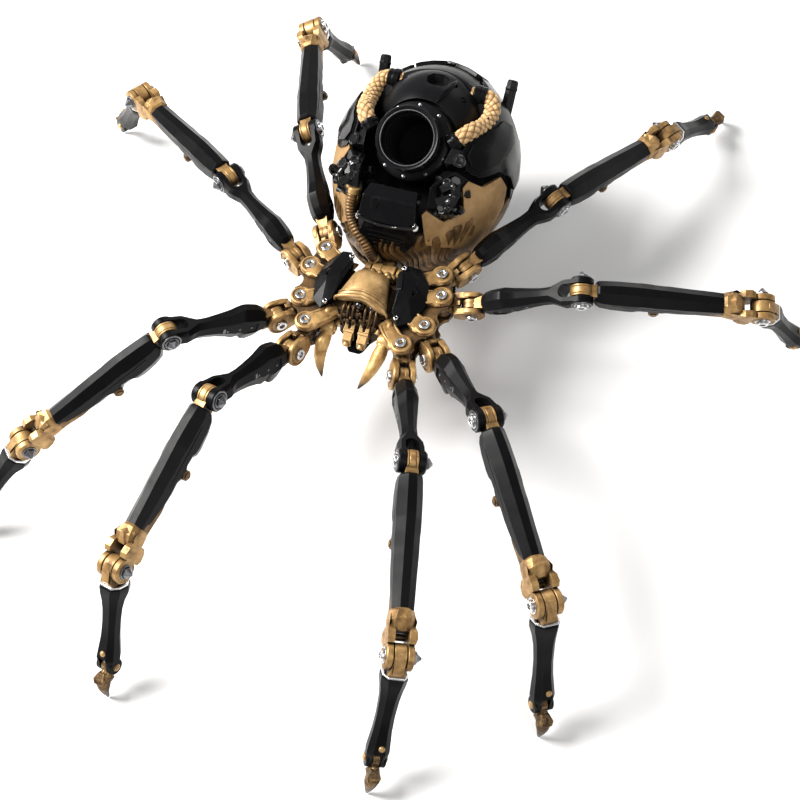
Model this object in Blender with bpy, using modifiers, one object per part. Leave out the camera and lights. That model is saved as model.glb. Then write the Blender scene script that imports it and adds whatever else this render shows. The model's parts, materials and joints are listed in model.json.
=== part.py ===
"""Eight-legged spider machine standing on its claws, built as separate named pieces.

Every leg is a chain of five pieces: coxa (hip bracket), femur, tibia with its
ankle clevis, tarsus and claw. The body is a thorax frame with a head, a hooded
cowl, two fangs and two shoulder plates. The egg-shaped abdomen hangs on a neck
knuckle behind it and carries a short wide cannon under a domed turret.
The spider faces -Y, +X is its left side and +Z is up. Leg names run r1..r4 on
its right and l1..l4 on its left, from front to rear.
"""
import math

import bmesh
import bpy
import numpy as np
from mathutils import Matrix, Vector

MM = 0.001
# ---- driving dimensions, millimetres and degrees ----
SHIFT_X, SHIFT_Y = -1.4145, -0.376     # puts the centre of the bounding box over the origin
HIP_HEIGHT = 53.98              # hip swivel centre above the ground
COXA_LENGTH = 13.0              # swivel axis to hip lift axis
FEMUR_LENGTH = 53.16            # hip lift axis to knee axis
TIBIA_LENGTH = 80.0             # knee axis to ankle axis
FOOT_REACH = 64.5               # ankle axis to claw tip
TARSUS_LENGTH = 47.0            # ankle axis to toe axis
SWIVEL_XY = [(22.36, -19.54), (29.15, -7.69), (31.10, 9.50), (27.61, 20.55)]
# per leg: heading from the side towards the front, femur, tibia and foot pitch, twist
LEG_POSE = {
    "r1": (76.1, 26.3, -17.5, -57.2, -9.5),
    "r2": (46.2, 23.6, -21.9, -44.9, -0.7),
    "r3": (-32.7, 9.4, -6.1, -57.3, -2.5),
    "r4": (-66.1, 16.0, -9.4, -64.5, 19.2),
    "l1": (70.5, 16.7, -14.1, -55.0, 18.8),
    "l2": (51.0, 22.5, -14.2, -62.7, 16.4),
    "l3": (-15.1, 24.7, -13.9, -67.4, -18.2),
    "l4": (-59.1, 5.2, -15.8, -37.5, -15.5),
}
PLATE_THICK = 1.9               # thorax plates
KNUCKLE_R = 5.0                 # knee roller radius
ANKLE_R = 5.4                   # ankle roller radius
HIP_R = 6.0                     # hip ear radius
LEG_WIDTH = 11.6                # outside width of the knee and ankle forks
PLATE_GAP = 7.4                 # gap between the thorax plates
EGG_CENTRE = (0.0, 77.5, 60.5)  # abdomen
EGG_SEMI = (41.0, 52.0, 45.0)
MUZZLE = (0.0, 60.0, 100.7)     # centre of the cannon's muzzle
BORE_TILT = 56.0                # cannon axis above the horizontal
BORE_R, BARREL_R, COLLAR_R = 11.35, 14.4, 17.9
BARREL_LENGTH = 36.0
DOME_CENTRE, DOME_R = (0.0, 90.0, 76.5), 25.5
GAP = 0.35                      # clearance between neighbouring pieces
SMOOTH_UNDER = 32.0             # edges flatter than this are shaded smooth

GOLD = (0.52, 0.36, 0.15, 1.0)
BLACK = (0.012, 0.012, 0.013, 1.0)
BRONZE = (0.11, 0.075, 0.035, 1.0)
HOSE = (0.62, 0.47, 0.26, 1.0)

for old in list(bpy.data.objects):
    bpy.data.objects.remove(old, do_unlink=True)

machine = bpy.data.collections.new("spider_machine")
bpy.context.scene.collection.children.link(machine)
cutters = bpy.data.collections.new("cutters")
cutters.hide_render = True
bpy.context.scene.collection.children.link(cutters)


# ---------------------------------------------------------------- mesh helpers
def new_object(source, name="piece"):
    """An object in the construction collection from a bmesh or a mesh. finish() moves the kept ones."""
    if isinstance(source, bmesh.types.BMesh):
        bmesh.ops.recalc_face_normals(source, faces=source.faces)
        mesh = bpy.data.meshes.new(name)
        source.to_mesh(mesh)
        source.free()
    else:
        mesh = source
    obj = bpy.data.objects.new(name, mesh)
    cutters.objects.link(obj)
    return obj


def applied(obj):
    """The object with its modifiers or its curve bevel made into a welded mesh."""
    bpy.context.view_layer.update()
    graph = bpy.context.evaluated_depsgraph_get()
    mesh = bpy.data.meshes.new_from_object(obj.evaluated_get(graph))
    matrix = obj.matrix_world.copy()
    bpy.data.objects.remove(obj, do_unlink=True)
    bm = bmesh.new()
    bm.from_mesh(mesh)
    bpy.data.meshes.remove(mesh)
    bmesh.ops.transform(bm, matrix=matrix, verts=bm.verts)
    bmesh.ops.remove_doubles(bm, verts=bm.verts, dist=1e-4)
    return new_object(bm)


def loft(rings):
    """A closed skin through unlike sections of equal point count, capped at both ends."""
    bm = bmesh.new()
    rows = [[bm.verts.new(p) for p in ring] for ring in rings]
    n = len(rows[0])
    for a, b in zip(rows, rows[1:]):
        for i in range(n):
            bm.faces.new((a[i], a[(i + 1) % n], b[(i + 1) % n], b[i]))
    bm.faces.new(rows[0])
    bm.faces.new(rows[-1])
    return new_object(bm)


def hull(points):
    bm = bmesh.new()
    for p in points:
        bm.verts.new(p)
    bmesh.ops.convex_hull(bm, input=bm.verts)
    loose = [v for v in bm.verts if not v.link_faces]
    bmesh.ops.delete(bm, geom=loose, context="VERTS")
    return new_object(bm)


def block(lo, hi):
    lo, hi = Vector(lo), Vector(hi)
    bm = bmesh.new()
    bmesh.ops.create_cube(bm, size=1.0, matrix=Matrix.Translation((lo + hi) / 2) @ Matrix.Diagonal((*(hi - lo), 1.0)))
    return new_object(bm)


def prism(outline, lo, hi):
    """An outline in x,y raised from z=lo to z=hi."""
    curve = bpy.data.curves.new("outline", "CURVE")
    curve.dimensions = "2D"
    curve.fill_mode = "BOTH"
    curve.extrude = (hi - lo) / 2
    spline = curve.splines.new("POLY")
    spline.points.add(len(outline) - 1)
    for point, (x, y) in zip(spline.points, outline):
        point.co = (x, y, 0.0, 1.0)
    spline.use_cyclic_u = True
    obj = bpy.data.objects.new("outline", curve)
    obj.location.z = (lo + hi) / 2
    cutters.objects.link(obj)
    return applied(obj)


def frame_of(axis):
    a = Vector(axis).normalized()
    u = Vector((1, 0, 0)) if abs(a.x) < 0.9 else Vector((0, 0, 1))
    u = (u - a * u.dot(a)).normalized()
    return u, a.cross(u), a


def matrix_from(x, y, z, origin):
    m = Matrix.Identity(4)
    for i in range(3):
        m[i][0], m[i][1], m[i][2], m[i][3] = x[i], y[i], z[i], origin[i]
    return m


def rod(p, q, r, n=12, r2=None):
    """A cylinder, or a cone frustum when r2 is given, from p to q."""
    p, q = Vector(p), Vector(q)
    u, v, a = frame_of(q - p)
    bm = bmesh.new()
    bmesh.ops.create_cone(bm, cap_ends=True, cap_tris=False, segments=n, radius1=r, radius2=r if r2 is None else r2,
                          depth=(q - p).length, matrix=matrix_from(-v, u, a, (p + q) / 2))
    return new_object(bm)


def disc_y(x, z, r, y0, y1, n=12):
    return rod((x, y0, z), (x, y1, z), r, n)


def ball(centre, semi, n=20, m=10):
    """An ellipsoid with its poles up and down."""
    bm = bmesh.new()
    bmesh.ops.create_uvsphere(bm, u_segments=n, v_segments=m, radius=1.0,
                              matrix=Matrix.Translation(centre) @ Matrix.Diagonal((*semi, 1.0)) @ Matrix.Rotation(math.pi / n, 4, "Z"))
    return new_object(bm)


def lathe(profile, origin, axis, n=24):
    """A solid of revolution from a profile of (radius, distance), turned with a Screw modifier."""
    mesh = bpy.data.meshes.new("profile")
    count = len(profile)
    edges = [(i, (i + 1) % count) for i in range(count) if profile[i][0] > 0 or profile[(i + 1) % count][0] > 0]
    mesh.from_pydata([(r, 0.0, s) for r, s in profile], edges, [])
    obj = new_object(mesh)
    screw = obj.modifiers.new("turn", "SCREW")
    screw.axis = "Z"
    screw.angle = 2 * math.pi
    screw.steps = screw.render_steps = n
    screw.use_merge_vertices = True
    screw.merge_threshold = 0.0001
    turned = applied(obj)
    u, v, a = frame_of(axis)
    return place(turned, matrix_from(u, v, a, origin))


def tube(path, r):
    """A round tube along a path: a bevelled curve with filled caps."""
    curve = bpy.data.curves.new("tube", "CURVE")
    curve.dimensions = "3D"
    curve.bevel_depth = r
    curve.bevel_resolution = 2
    curve.use_fill_caps = True
    spline = curve.splines.new("POLY")
    spline.points.add(len(path) - 1)
    for point, co in zip(spline.points, path):
        point.co = (*co, 1.0)
    obj = bpy.data.objects.new("tube", curve)
    cutters.objects.link(obj)
    return applied(obj)


def skin(rows, thickness):
    """A curved sheet through rows of points, thickened inwards with a Solidify modifier."""
    bm = bmesh.new()
    bmesh.ops.create_grid(bm, x_segments=len(rows[0]) - 1, y_segments=len(rows) - 1, size=1.0)
    bm.verts.ensure_lookup_table()
    nodes = sorted(bm.verts, key=lambda v: (round(v.co.y, 5), round(v.co.x, 5)))
    for node, co in zip(nodes, [p for row in rows for p in row]):
        node.co = co
    obj = new_object(bm)
    solid = obj.modifiers.new("thickness", "SOLIDIFY")
    solid.thickness = abs(thickness)
    solid.offset = -1.0 if thickness > 0 else 1.0
    solid.use_even_offset = True
    return applied(obj)


def boolean(a, b, operation, keep=False):
    mod = a.modifiers.new("cut", "BOOLEAN")
    mod.operation = operation
    mod.solver = "EXACT"
    mod.object = b
    graph = bpy.context.evaluated_depsgraph_get()
    mesh = bpy.data.meshes.new_from_object(a.evaluated_get(graph))
    a.modifiers.remove(mod)
    old = a.data
    a.data = mesh
    bpy.data.meshes.remove(old)
    if not keep:
        bpy.data.objects.remove(b, do_unlink=True)
    return a


def union(first, *rest):
    for other in rest:
        boolean(first, other, "UNION")
    return first


def cut(first, *rest, keep=False):
    for other in rest:
        boolean(first, other, "DIFFERENCE", keep)
    return first


def common(first, other):
    return boolean(first, other, "INTERSECT")


def place(obj, matrix):
    obj.data.transform(matrix)
    return obj


def copy_of(obj):
    return new_object(obj.data.copy())


materials = {}


def material(name, color, metallic, roughness):
    if name not in materials:
        mat = bpy.data.materials.new(name)
        mat.use_nodes = True
        node = mat.node_tree.nodes["Principled BSDF"]
        node.inputs["Base Color"].default_value = color
        node.inputs["Metallic"].default_value = metallic
        node.inputs["Roughness"].default_value = roughness
        materials[name] = mat
    return materials[name]


FINISH = {"gold": (GOLD, 0.85, 0.38), "black": (BLACK, 0.1, 0.32), "bronze": (BRONZE, 0.85, 0.4), "hose": (HOSE, 0.2, 0.55)}


def finish(obj, name, look, pivot=None):
    """Names the piece, puts its origin at its joint and stores it in metres."""
    pivot = Vector(pivot) if pivot is not None else Vector((0, 0, 0))
    shift = Vector((SHIFT_X, SHIFT_Y, 0))
    bm = bmesh.new()
    bm.from_mesh(obj.data)
    bmesh.ops.remove_doubles(bm, verts=bm.verts, dist=1e-4)
    bmesh.ops.dissolve_degenerate(bm, edges=bm.edges, dist=1e-4)
    bmesh.ops.dissolve_limit(bm, angle_limit=0.004, verts=bm.verts, edges=bm.edges, use_dissolve_boundaries=False)
    bmesh.ops.triangulate(bm, faces=bm.faces)
    bm.to_mesh(obj.data)
    bm.free()
    obj.data.transform(Matrix.Translation(-pivot))
    obj.data.transform(Matrix.Scale(MM, 4))
    obj.location = (pivot + shift) * MM
    obj.name = name
    obj.data.name = name
    obj.data.materials.clear()
    obj.data.materials.append(material(name, *FINISH[look]))
    obj.data.shade_smooth()
    obj.data.set_sharp_from_angle(angle=math.radians(SMOOTH_UNDER))
    cutters.objects.unlink(obj)
    machine.objects.link(obj)
    return obj


# ---------------------------------------------------------------- leg pieces, x along the piece, z dorsal, y the hinge axis
def body_ring(x, w, top, bottom, ridge=0.35, waist=0.3):
    """Eight points: flat ridge on top, sloped shoulders, side walls, tapered belly."""
    h = w / 2
    mid = top - (top - bottom) * waist
    low = bottom + (top - bottom) * 0.3
    return [(x, h * ridge, top), (x, h, mid), (x, h, low), (x, h * 0.45, bottom),
            (x, -h * 0.45, bottom), (x, -h, low), (x, -h, mid), (x, -h * ridge, top)]


def femur_mesh():
    body = loft([
        body_ring(6.9, 8.0, 4.6, -4.8), body_ring(10.0, 9.4, 7.4, -6.4), body_ring(15.0, 9.8, 9.0, -8.2),
        body_ring(18.0, 9.6, 9.4, -5.6), body_ring(25.0, 8.4, 6.8, -5.2), body_ring(33.0, 6.6, 5.2, -4.8),
        body_ring(38.0, 6.8, 4.9, -4.7), body_ring(43.5, LEG_WIDTH, 4.9, -4.9, 0.8), body_ring(FEMUR_LENGTH - 1.5, LEG_WIDTH, 4.9, -4.9, 0.9),
    ])
    ends = disc_y(FEMUR_LENGTH, 0, 4.95, -LEG_WIDTH / 2 + 0.05, LEG_WIDTH / 2 - 0.05, 12)
    tongue = disc_y(0, 0, 4.6, -2.1, 2.1, 12)
    neck = block((1.0, -2.1, -3.6), (9.0, 2.1, 3.6))
    slot = block((FEMUR_LENGTH - KNUCKLE_R - 0.7, -2.85, -9), (FEMUR_LENGTH + 9, 2.85, 9))
    return union(cut(union(body, ends), slot), union(tongue, neck))


def tibia_mesh():
    roller = disc_y(0, 0, KNUCKLE_R, -2.5, 2.5, 12)
    neck = block((1.5, -2.5, -3.4), (9.0, 2.5, 3.2))
    blade = loft([
        body_ring(6.4, 7.0, 3.6, -4.6), body_ring(12.0, 10.2, 6.0, -8.6), body_ring(20.0, 11.0, 7.0, -10.0),
        body_ring(30.0, 10.8, 6.6, -8.0), body_ring(36.0, 10.4, 6.2, -7.2), body_ring(47.0, 10.0, 5.6, -7.8),
        body_ring(57.0, 9.2, 4.9, -4.8), body_ring(62.5, 8.6, 4.5, -4.4),
    ])
    clevis = loft([
        body_ring(60.0, 7.4, 3.9, -5.6), body_ring(65.0, 9.6, 5.8, -5.8), body_ring(69.0, LEG_WIDTH, 5.2, -5.4, 0.7),
        body_ring(TIBIA_LENGTH - 1.5, LEG_WIDTH, 5.3, -5.3, 0.9),
    ])
    ends = disc_y(TIBIA_LENGTH, 0, 5.3, -LEG_WIDTH / 2 + 0.05, LEG_WIDTH / 2 - 0.05, 12)
    slot = block((TIBIA_LENGTH - ANKLE_R - 0.7, -2.9, -10), (TIBIA_LENGTH + 10, 2.9, 10))
    return union(cut(union(clevis, ends), slot), blade, union(roller, neck))


def tarsus_mesh():
    roller = disc_y(0, 0, ANKLE_R, -2.5, 2.5, 12)
    neck = block((2.0, -2.5, -3.6), (9.6, 2.5, 3.6))
    shank = loft([
        body_ring(7.0, 8.8, 4.6, -5.0, 0.6), body_ring(10.5, 9.6, 6.6, -5.2, 0.5), body_ring(14.0, 8.8, 5.4, -4.6, 0.5),
        body_ring(26.0, 7.6, 4.2, -4.2, 0.5), body_ring(37.0, 8.0, 4.4, -4.5, 0.5), body_ring(TARSUS_LENGTH - 1.5, 8.4, 4.3, -4.2, 0.8),
    ])
    ends = disc_y(TARSUS_LENGTH, 0, 3.6, -4.15, 4.15, 10)
    slot = block((TARSUS_LENGTH - 4.4, -1.75, -9), (TARSUS_LENGTH + 9, 1.75, 9))
    return union(cut(union(shank, ends), slot), union(roller, neck))


def claw_mesh():
    reach = FOOT_REACH - TARSUS_LENGTH
    root = disc_y(0, 0, 3.4, -1.4, 1.4, 10)
    rings = []
    for k in range(5):
        t = k / 4
        x = 1.0 + (reach - 1.0) * t
        z = 3.0 * math.sin(math.pi * min(t * 1.05, 1)) - 0.6 * t
        w = [1.38, 2.5, 2.4, 1.7, 0.5][k]
        h = [2.4, 3.5, 3.1, 2.2, 0.5][k]
        if k == 1:
            x = 5.6
        rings.append([(x, w * c, z + h * s) for c, s in
                      [(math.cos(a), math.sin(a)) for a in [math.pi / 6 + 2 * math.pi * i / 6 for i in range(6)]]])
    return union(loft(rings), root)


def axes_of(leg):
    psi, alpha, beta, gamma, tau = LEG_POSE[leg]
    s = -1 if leg[0] == "r" else 1
    k = int(leg[1]) - 1
    p, t = math.radians(psi), math.radians(tau)
    d = Vector((s * math.cos(p), -math.sin(p), 0))
    z = Vector((0, 0, 1))
    side = z.cross(d)
    up = z * math.cos(t) + side * math.sin(t)
    pivot = Vector((s * SWIVEL_XY[k][0], SWIVEL_XY[k][1], HIP_HEIGHT))
    return s, d, up, up.cross(d), pivot


def pitched(d, up, n, deg, origin):
    a = math.radians(deg)
    x = d * math.cos(a) + up * math.sin(a)
    z = up * math.cos(a) - d * math.sin(a)
    m = Matrix.Identity(4)
    for i in range(3):
        m[i][0], m[i][1], m[i][2], m[i][3] = x[i], n[i], z[i], origin[i]
    return m, x


def coxa_object(leg):
    s, d, up, n, pivot = axes_of(leg)
    flat, _ = pitched(d, Vector((0, 0, 1)), Vector((0, 0, 1)).cross(d), 0, pivot)
    tilted, _ = pitched(d, up, n, 0, pivot)
    c = COXA_LENGTH
    knuckle = place(rod((0, 0, -PLATE_GAP / 2 + 0.3), (0, 0, PLATE_GAP / 2 - 0.3), 4.2, 10), flat)
    arm = block((0.5, -3.3, -1.9), (c - 5.6, 3.3, 1.9))
    web = block((c - 8.0, -4.9, -1.7), (c - 5.3, 4.9, 1.7))
    ear = [union(disc_y(c, 0, HIP_R, y0, y1, 12), hull([(c - 7.8, y0 + e, -1.5), (c - 7.8, y0 + e, 1.5), (c, y0 + e, -5.6), (c, y0 + e, 5.6),
                                                       (c - 7.8, y1 - e, -1.5), (c - 7.8, y1 - e, 1.5), (c, y1 - e, -5.6), (c, y1 - e, 5.6)]))
           for y0, y1, e in ((2.45, 5.0, 0.12), (-5.0, -2.45, 0.12))]
    bracket = union(arm, web, *ear)
    return union(knuckle, place(bracket, tilted)), pivot, n


bits = {"femur": femur_mesh(), "tibia": tibia_mesh(), "tarsus": tarsus_mesh(), "claw": claw_mesh()}
hinge_table = {}


def lowest(obj, matrix):
    return min((matrix @ v.co).z for v in obj.data.vertices)


for leg in LEG_POSE:
    s, d, up, n, pivot = axes_of(leg)
    psi, alpha, beta, gamma, tau = LEG_POSE[leg]
    coxa, _, _ = coxa_object(leg)
    hip = pivot + d * COXA_LENGTH
    m_f, xf = pitched(d, up, n, alpha, hip)
    knee = hip + xf * FEMUR_LENGTH
    m_t, xt = pitched(d, up, n, beta, knee)
    ankle = knee + xt * TIBIA_LENGTH
    # the foot turns about the ankle until the claw's lowest point is on the ground
    lo_g, hi_g = gamma - 25, gamma + 25
    for _ in range(50):
        mid_g = (lo_g + hi_g) / 2
        m_s, xs = pitched(d, up, n, mid_g, ankle)
        m_c, _ = pitched(d, up, n, mid_g, ankle + xs * TARSUS_LENGTH)
        if lowest(bits["claw"], m_c) < 0:
            lo_g = mid_g
        else:
            hi_g = mid_g
    toe = ankle + xs * TARSUS_LENGTH
    finish(coxa, f"coxa_{leg}", "gold", pivot)
    finish(place(copy_of(bits["femur"]), m_f), f"femur_{leg}", "black", hip)
    finish(place(copy_of(bits["tibia"]), m_t), f"tibia_{leg}", "black", knee)
    finish(place(copy_of(bits["tarsus"]), m_s), f"tarsus_{leg}", "black", ankle)
    finish(place(copy_of(bits["claw"]), m_c), f"claw_{leg}", "bronze", toe)
    hinge_table[leg] = (pivot, hip, knee, ankle, toe, n, mid_g)
for bit in bits.values():
    bpy.data.objects.remove(bit, do_unlink=True)


# ---------------------------------------------------------------- thorax
def mirrored(points):
    return [(-x, y, z) for x, y, z in points]


def both(outline):
    return outline + [(-x, y) for x, y in reversed(outline)]


PLATE = both([(-12.0, -8.6), (-18.0, -13.2), (-18.8, -22.4), (-24.0, -24.2), (-27.4, -21.0), (-33.4, -8.5), (-35.6, 10.5), (-32.0, 24.2), (-26.0, 25.4), (-20.5, 19.0), (-10.0, 12.0)])
top = prism(PLATE, HIP_HEIGHT + PLATE_GAP / 2, HIP_HEIGHT + PLATE_GAP / 2 + PLATE_THICK)
bottom = prism(PLATE, HIP_HEIGHT - PLATE_GAP / 2 - PLATE_THICK, HIP_HEIGHT - PLATE_GAP / 2)
core = hull([(sx * x, y, z) for sx in (-1, 1) for x, y, z in
             [(11, -8.0, HIP_HEIGHT - 4.4), (11, -8.0, HIP_HEIGHT + 4.4), (17, -2, HIP_HEIGHT - 4.4), (17, -2, HIP_HEIGHT + 4.4),
              (15, 10.5, HIP_HEIGHT - 4.4), (15, 10.5, HIP_HEIGHT + 4.4)]])
belly = hull([(sx * x, y, z) for sx in (-1, 1) for x, y, z in
              [(11, -7.6, 49.4), (17, 2, 49.4), (9, 10.5, 49.4), (8, -5, 42.0), (11, 4, 42.0), (6, 7, 42.0)]])
tail = hull([(sx * 5.5, y, z) for sx in (-1, 1) for y, z in [(9, 49.0), (9, 59.0), (14.6, 49.6), (14.6, 57.6)]])
ears = [union(rod((x - 1.25, 19.4, 53.5), (x + 1.25, 19.4, 53.5), 3.7, 10), block((x - 1.15, 12.0, 50.2), (x + 1.15, 19.4, 56.8))) for x in (-7.3, 7.3)]
tail_web = block((-8.4, 9.0, 50.4), (8.4, 14.4, 56.6))
finish(union(union(top, core), bottom, belly, tail, tail_web, *ears), "thorax_frame", "gold")


def shoulder(side):
    top_z = HIP_HEIGHT + PLATE_GAP / 2 + PLATE_THICK + GAP
    pts = []
    for x, y, z in [(13.6, 4.0, 66.4), (10.8, 12.0, 66.8), (13.5, 17.5, 65.6), (14.0, -7.0, 63.8), (18.0, -12.5, 61.8), (23.5, -8.0, 61.0), (26.5, 4.0, 60.6),
                    (24.5, 12.5, 61.0), (18.5, 18.5, 63.4), (19.5, 0.0, 65.4), (20.5, 8.0, 65.6)]:
        pts += [(side * x, y, z + 1.0), (side * x, y, max(z - 2.6, top_z))]
    return hull(pts)


finish(shoulder(-1), "shoulder_plate_right", "black")
finish(shoulder(1), "shoulder_plate_left", "black")

# neck knuckle between the thorax tail and the abdomen
NECK = (0.0, 19.4, 53.5)
finish(union(rod((-5.6, NECK[1], NECK[2]), (5.6, NECK[1], NECK[2]), 4.3, 12), block((-3.0, NECK[1], 51.6), (3.0, 30.0, 55.4))), "pedicel_knuckle", "gold", NECK)

# ---------------------------------------------------------------- head
Z0 = HIP_HEIGHT + PLATE_GAP / 2 + PLATE_THICK + GAP
crown = hull([(sx * x, y, z) for sx in (-1, 1) for x, y, z in
              [(8.6, 8.0, Z0), (7.4, 7.0, 64.8), (9.0, -4.0, 64.6), (9.4, -12.0, 62.4), (9.8, -12.0, Z0)]])
jaw = hull([(sx * x, y, z) for sx in (-1, 1) for x, y, z in
            [(9.8, -9.4, Z0 + 1.4), (9.8, -9.4, 49.0), (9.6, -16.0, 60.4), (9.8, -18.0, 52.0), (5.0, -19.0, 46.4), (3.0, -22.6, 47.4), (4.5, -11.0, 45.4)]])
guns = [hull([(c + dx, y, z) for dx in (-2.4, 2.4) for y, z in [(-12.0, 54.4), (-12.0, 60.2), (-21.8, 51.6), (-20.6, 56.6)]]) for c in (-3.4, 3.4)]
finish(union(crown, jaw, *guns), "head_block", "gold")


def cowl():
    rows = []
    for y, w, zt, zb in [(-7.4, 11.6, 70.6, 64.9), (-2.0, 11.2, 72.0, 65.0), (4.0, 8.8, 72.4, 65.2), (8.6, 6.0, 71.0, 65.4), (10.6, 4.4, 69.0, 65.6)]:
        angles = [math.pi * k / 8 for k in range(9)]
        rows.append([(-w * math.cos(a), y, zb + (zt - zb) * math.sin(a) ** 0.8) for a in angles])
    return skin(rows, 1.5)


finish(union(cowl(), hull([(sx * x, y, z) for sx in (-1, 1) for x, y, z in [(7.6, 3.0, 65.3), (7.6, 3.0, 68.0), (5.0, 8.2, 65.5), (5.0, 8.2, 68.0)]])), "head_cowl", "gold")

FANG_ROOT = {"right": (-13.6, -15.6, 54.0), "left": (13.3, -16.0, 54.0)}
FANG_TIP = {"right": (-13.0, -31.6, 37.6), "left": (5.4, -34.2, 39.4)}


def fang(root, tip, side):
    root, tip = Vector(root), Vector(tip)
    length = (tip - root).length
    x = (tip - root).normalized()
    y = Vector((0, -1, 0))
    y = (y - x * y.dot(x)).normalized()
    z = x.cross(y)
    rings = []
    for t, bow, r in ((0.0, 0.0, 2.5), (0.28, 1.4, 3.0), (0.55, 2.0, 2.6), (0.8, 1.5, 1.6), (1.0, 0.0, 0.4)):
        c = root + x * (length * t) + y * bow
        rings.append([c + (y * math.cos(a) + z * math.sin(a)) * r for a in [2 * math.pi * k / 8 for k in range(8)]])
    return loft(rings)


for name, side in (("right", -1), ("left", 1)):
    root = FANG_ROOT[name]
    root_drum = rod((root[0] - 2.7, root[1], root[2]), (root[0] + 2.7, root[1], root[2]), 3.2, 10)
    finish(union(fang(root, FANG_TIP[name], side), root_drum), f"fang_{name}", "gold", root)

# ---------------------------------------------------------------- abdomen
AX = Vector((0, -math.cos(math.radians(BORE_TILT)), math.sin(math.radians(BORE_TILT))))
MZ = Vector(MUZZLE)


def bore_point(t):
    return MZ - AX * t


def egg(grow=0.0, n=20, m=10, centre=EGG_CENTRE, semi=EGG_SEMI):
    return ball(centre, [v + grow for v in semi], n, m)


def barrel_space(grow=GAP):
    u, v, a = frame_of(AX)
    return union(rod(bore_point(-20), bore_point(BARREL_LENGTH + grow), BARREL_R + 0.7 + grow, 24),
                 rod(bore_point(-20), bore_point(20.0 + grow), COLLAR_R + grow, 24))


def dome_ball(grow=0.0, n=20, m=10):
    return egg(grow, n, m, DOME_CENTRE, (DOME_R, DOME_R, DOME_R))


def wing(side, grow=0.0):
    g = grow
    pts = []
    for y, z, x in [(60, 82, 30.0), (66, 72, 36.5), (78, 62, 41.0), (96, 54, 41.6), (108, 50, 37.0), (106, 62, 34.5), (101, 74, 31.5),
                    (90, 86, 29.0), (74, 91, 27.0), (66, 89, 27.0), (84, 74, 40.6), (98, 70, 39.0)]:
        cy, cz = 88, 72
        f = 1 + g / 20
        pts.append((side * (x + 1.6 + g), cy + (y - cy) * f, cz + (z - cz) * f))
        pts.append((side * (x - 5.0 - g), cy + (y - cy) * f, cz + (z - cz) * f))
    return hull(pts)


def post(side, grow=0.0):
    g = grow
    base, tip = Vector((side * 30.0, 98.0, 71.0)), Vector((side * 31.0, 116.0, 88.0))
    return rod(base, tip, 3.0 + g, 8, 2.7 + g)


def chin(grow=0.0):
    g = grow
    return hull([(sx * (x + g), y, z) for sx in (-1, 1) for x, y, z in
                 [(12.5, 34 - g, 88 + g), (14.0, 27.5 - g, 79), (13.5, 24.5 - g, 70), (9, 25 - g, 63.5 - g), (12.5, 44 + g, 84 + g), (11, 40 + g, 64 - g),
                  (7, 31 - g, 90 + g), (7, 44 + g, 88 + g)]])


def engine(side, grow=0.0):
    g = grow
    return hull([(side * x, y, z) for x, y, z in
                 [(15.5 - g, 40, 96 + g), (15.5 - g, 34 - g, 84), (16 - g, 36 - g, 74 - g), (27 + g, 42 - g, 73 - g), (32.5 + g, 52, 76 - g), (33.0 + g, 58 + g, 84),
                  (26 + g, 54, 95 + g), (17 - g, 56 + g, 92 + g), (22, 36 - g, 86), (16 - g, 58 + g, 78), (28 + g, 62 + g, 78)]])


HOSE_PATH = [(20.0, 67.0, 95.6), (22.6, 69.6, 97.2), (25.2, 74.5, 96.6), (26.6, 81.0, 94.2), (26.8, 88.5, 90.4), (25.6, 96.5, 85.2), (22.2, 103.6, 79.6), (18.0, 108.0, 76.0)]


def hose(side, r):
    return tube([(side * x, y, z) for x, y, z in HOSE_PATH], r)


# barrel with its collar step, open at the muzzle
barrel = lathe([(BORE_R, 3.2), (BARREL_R - 0.9, 0.4), (BARREL_R - 0.4, 0.0), (BARREL_R, 0.8), (BARREL_R, 9.6), (COLLAR_R - 0.8, 9.8), (COLLAR_R, 11.0),
                (COLLAR_R, 18.8), (BARREL_R + 0.6, 20.0), (BARREL_R + 0.6, BARREL_LENGTH), (0.0, BARREL_LENGTH), (0.0, 31.0), (BORE_R, 31.0)],
               MZ, -AX, 24)
finish(barrel, "cannon_barrel", "black")

def beyond(t, thick=200.0):
    """The space from t to t + thick behind the muzzle along the bore."""
    c, u, v = bore_point(t), Vector((1, 0, 0)), AX.cross(Vector((1, 0, 0)))
    return hull([c + u * a + v * b - AX * d for a in (-90, 90) for b in (-120, 120) for d in (0.0, thick)])


BASE_FROM, BASE_TO = 21.5, 29.0     # the black turret base is the slice of the egg between these distances behind the muzzle
dome = dome_ball()
dome = cut(dome, block((-60, 20, 0), (60, 140, 66.0)))
BASE_LOW = 70.0                     # and above this height


def crown_space(grow=0.0):
    """The top of the egg that the turret base takes."""
    return common(beyond(-60.0, BASE_TO + 60.0 + grow), block((-100, -100, BASE_LOW - grow), (100, 250, 300)))


base = common(common(common(egg(0.7), beyond(BASE_FROM)), crown_space()), hull([(sx * 27, y, z) for sx in (-1, 1) for y, z in [(-20, 0), (-20, 160), (82, 0), (82, 160)]]))
turret = union(dome, base)
cut(turret, barrel_space(), hose(1, 3.8 + GAP), hose(-1, 3.8 + GAP))


for name, side in (("right", -1), ("left", 1)):
    w = union(wing(side), post(side))
    w = cut(w, hose(side, 3.8 + GAP), dome_ball(GAP), barrel_space())
    finish(w, f"side_wing_{name}", "black")
    finish(cut(hose(side, 3.8), dome_ball(GAP), barrel_space()), f"hose_{name}", "hose")
    finish(cut(engine(side), barrel_space(), wing(side, GAP), hose(side, 3.8 + GAP)), f"engine_block_{name}", "black")
finish(cut(chin(), barrel_space(), engine(1, GAP), engine(-1, GAP)), "chin_block", "black")
cut(turret, wing(1, GAP), wing(-1, GAP), chin(GAP), engine(1, GAP), engine(-1, GAP))
finish(turret, "turret_dome", "black")


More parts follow.
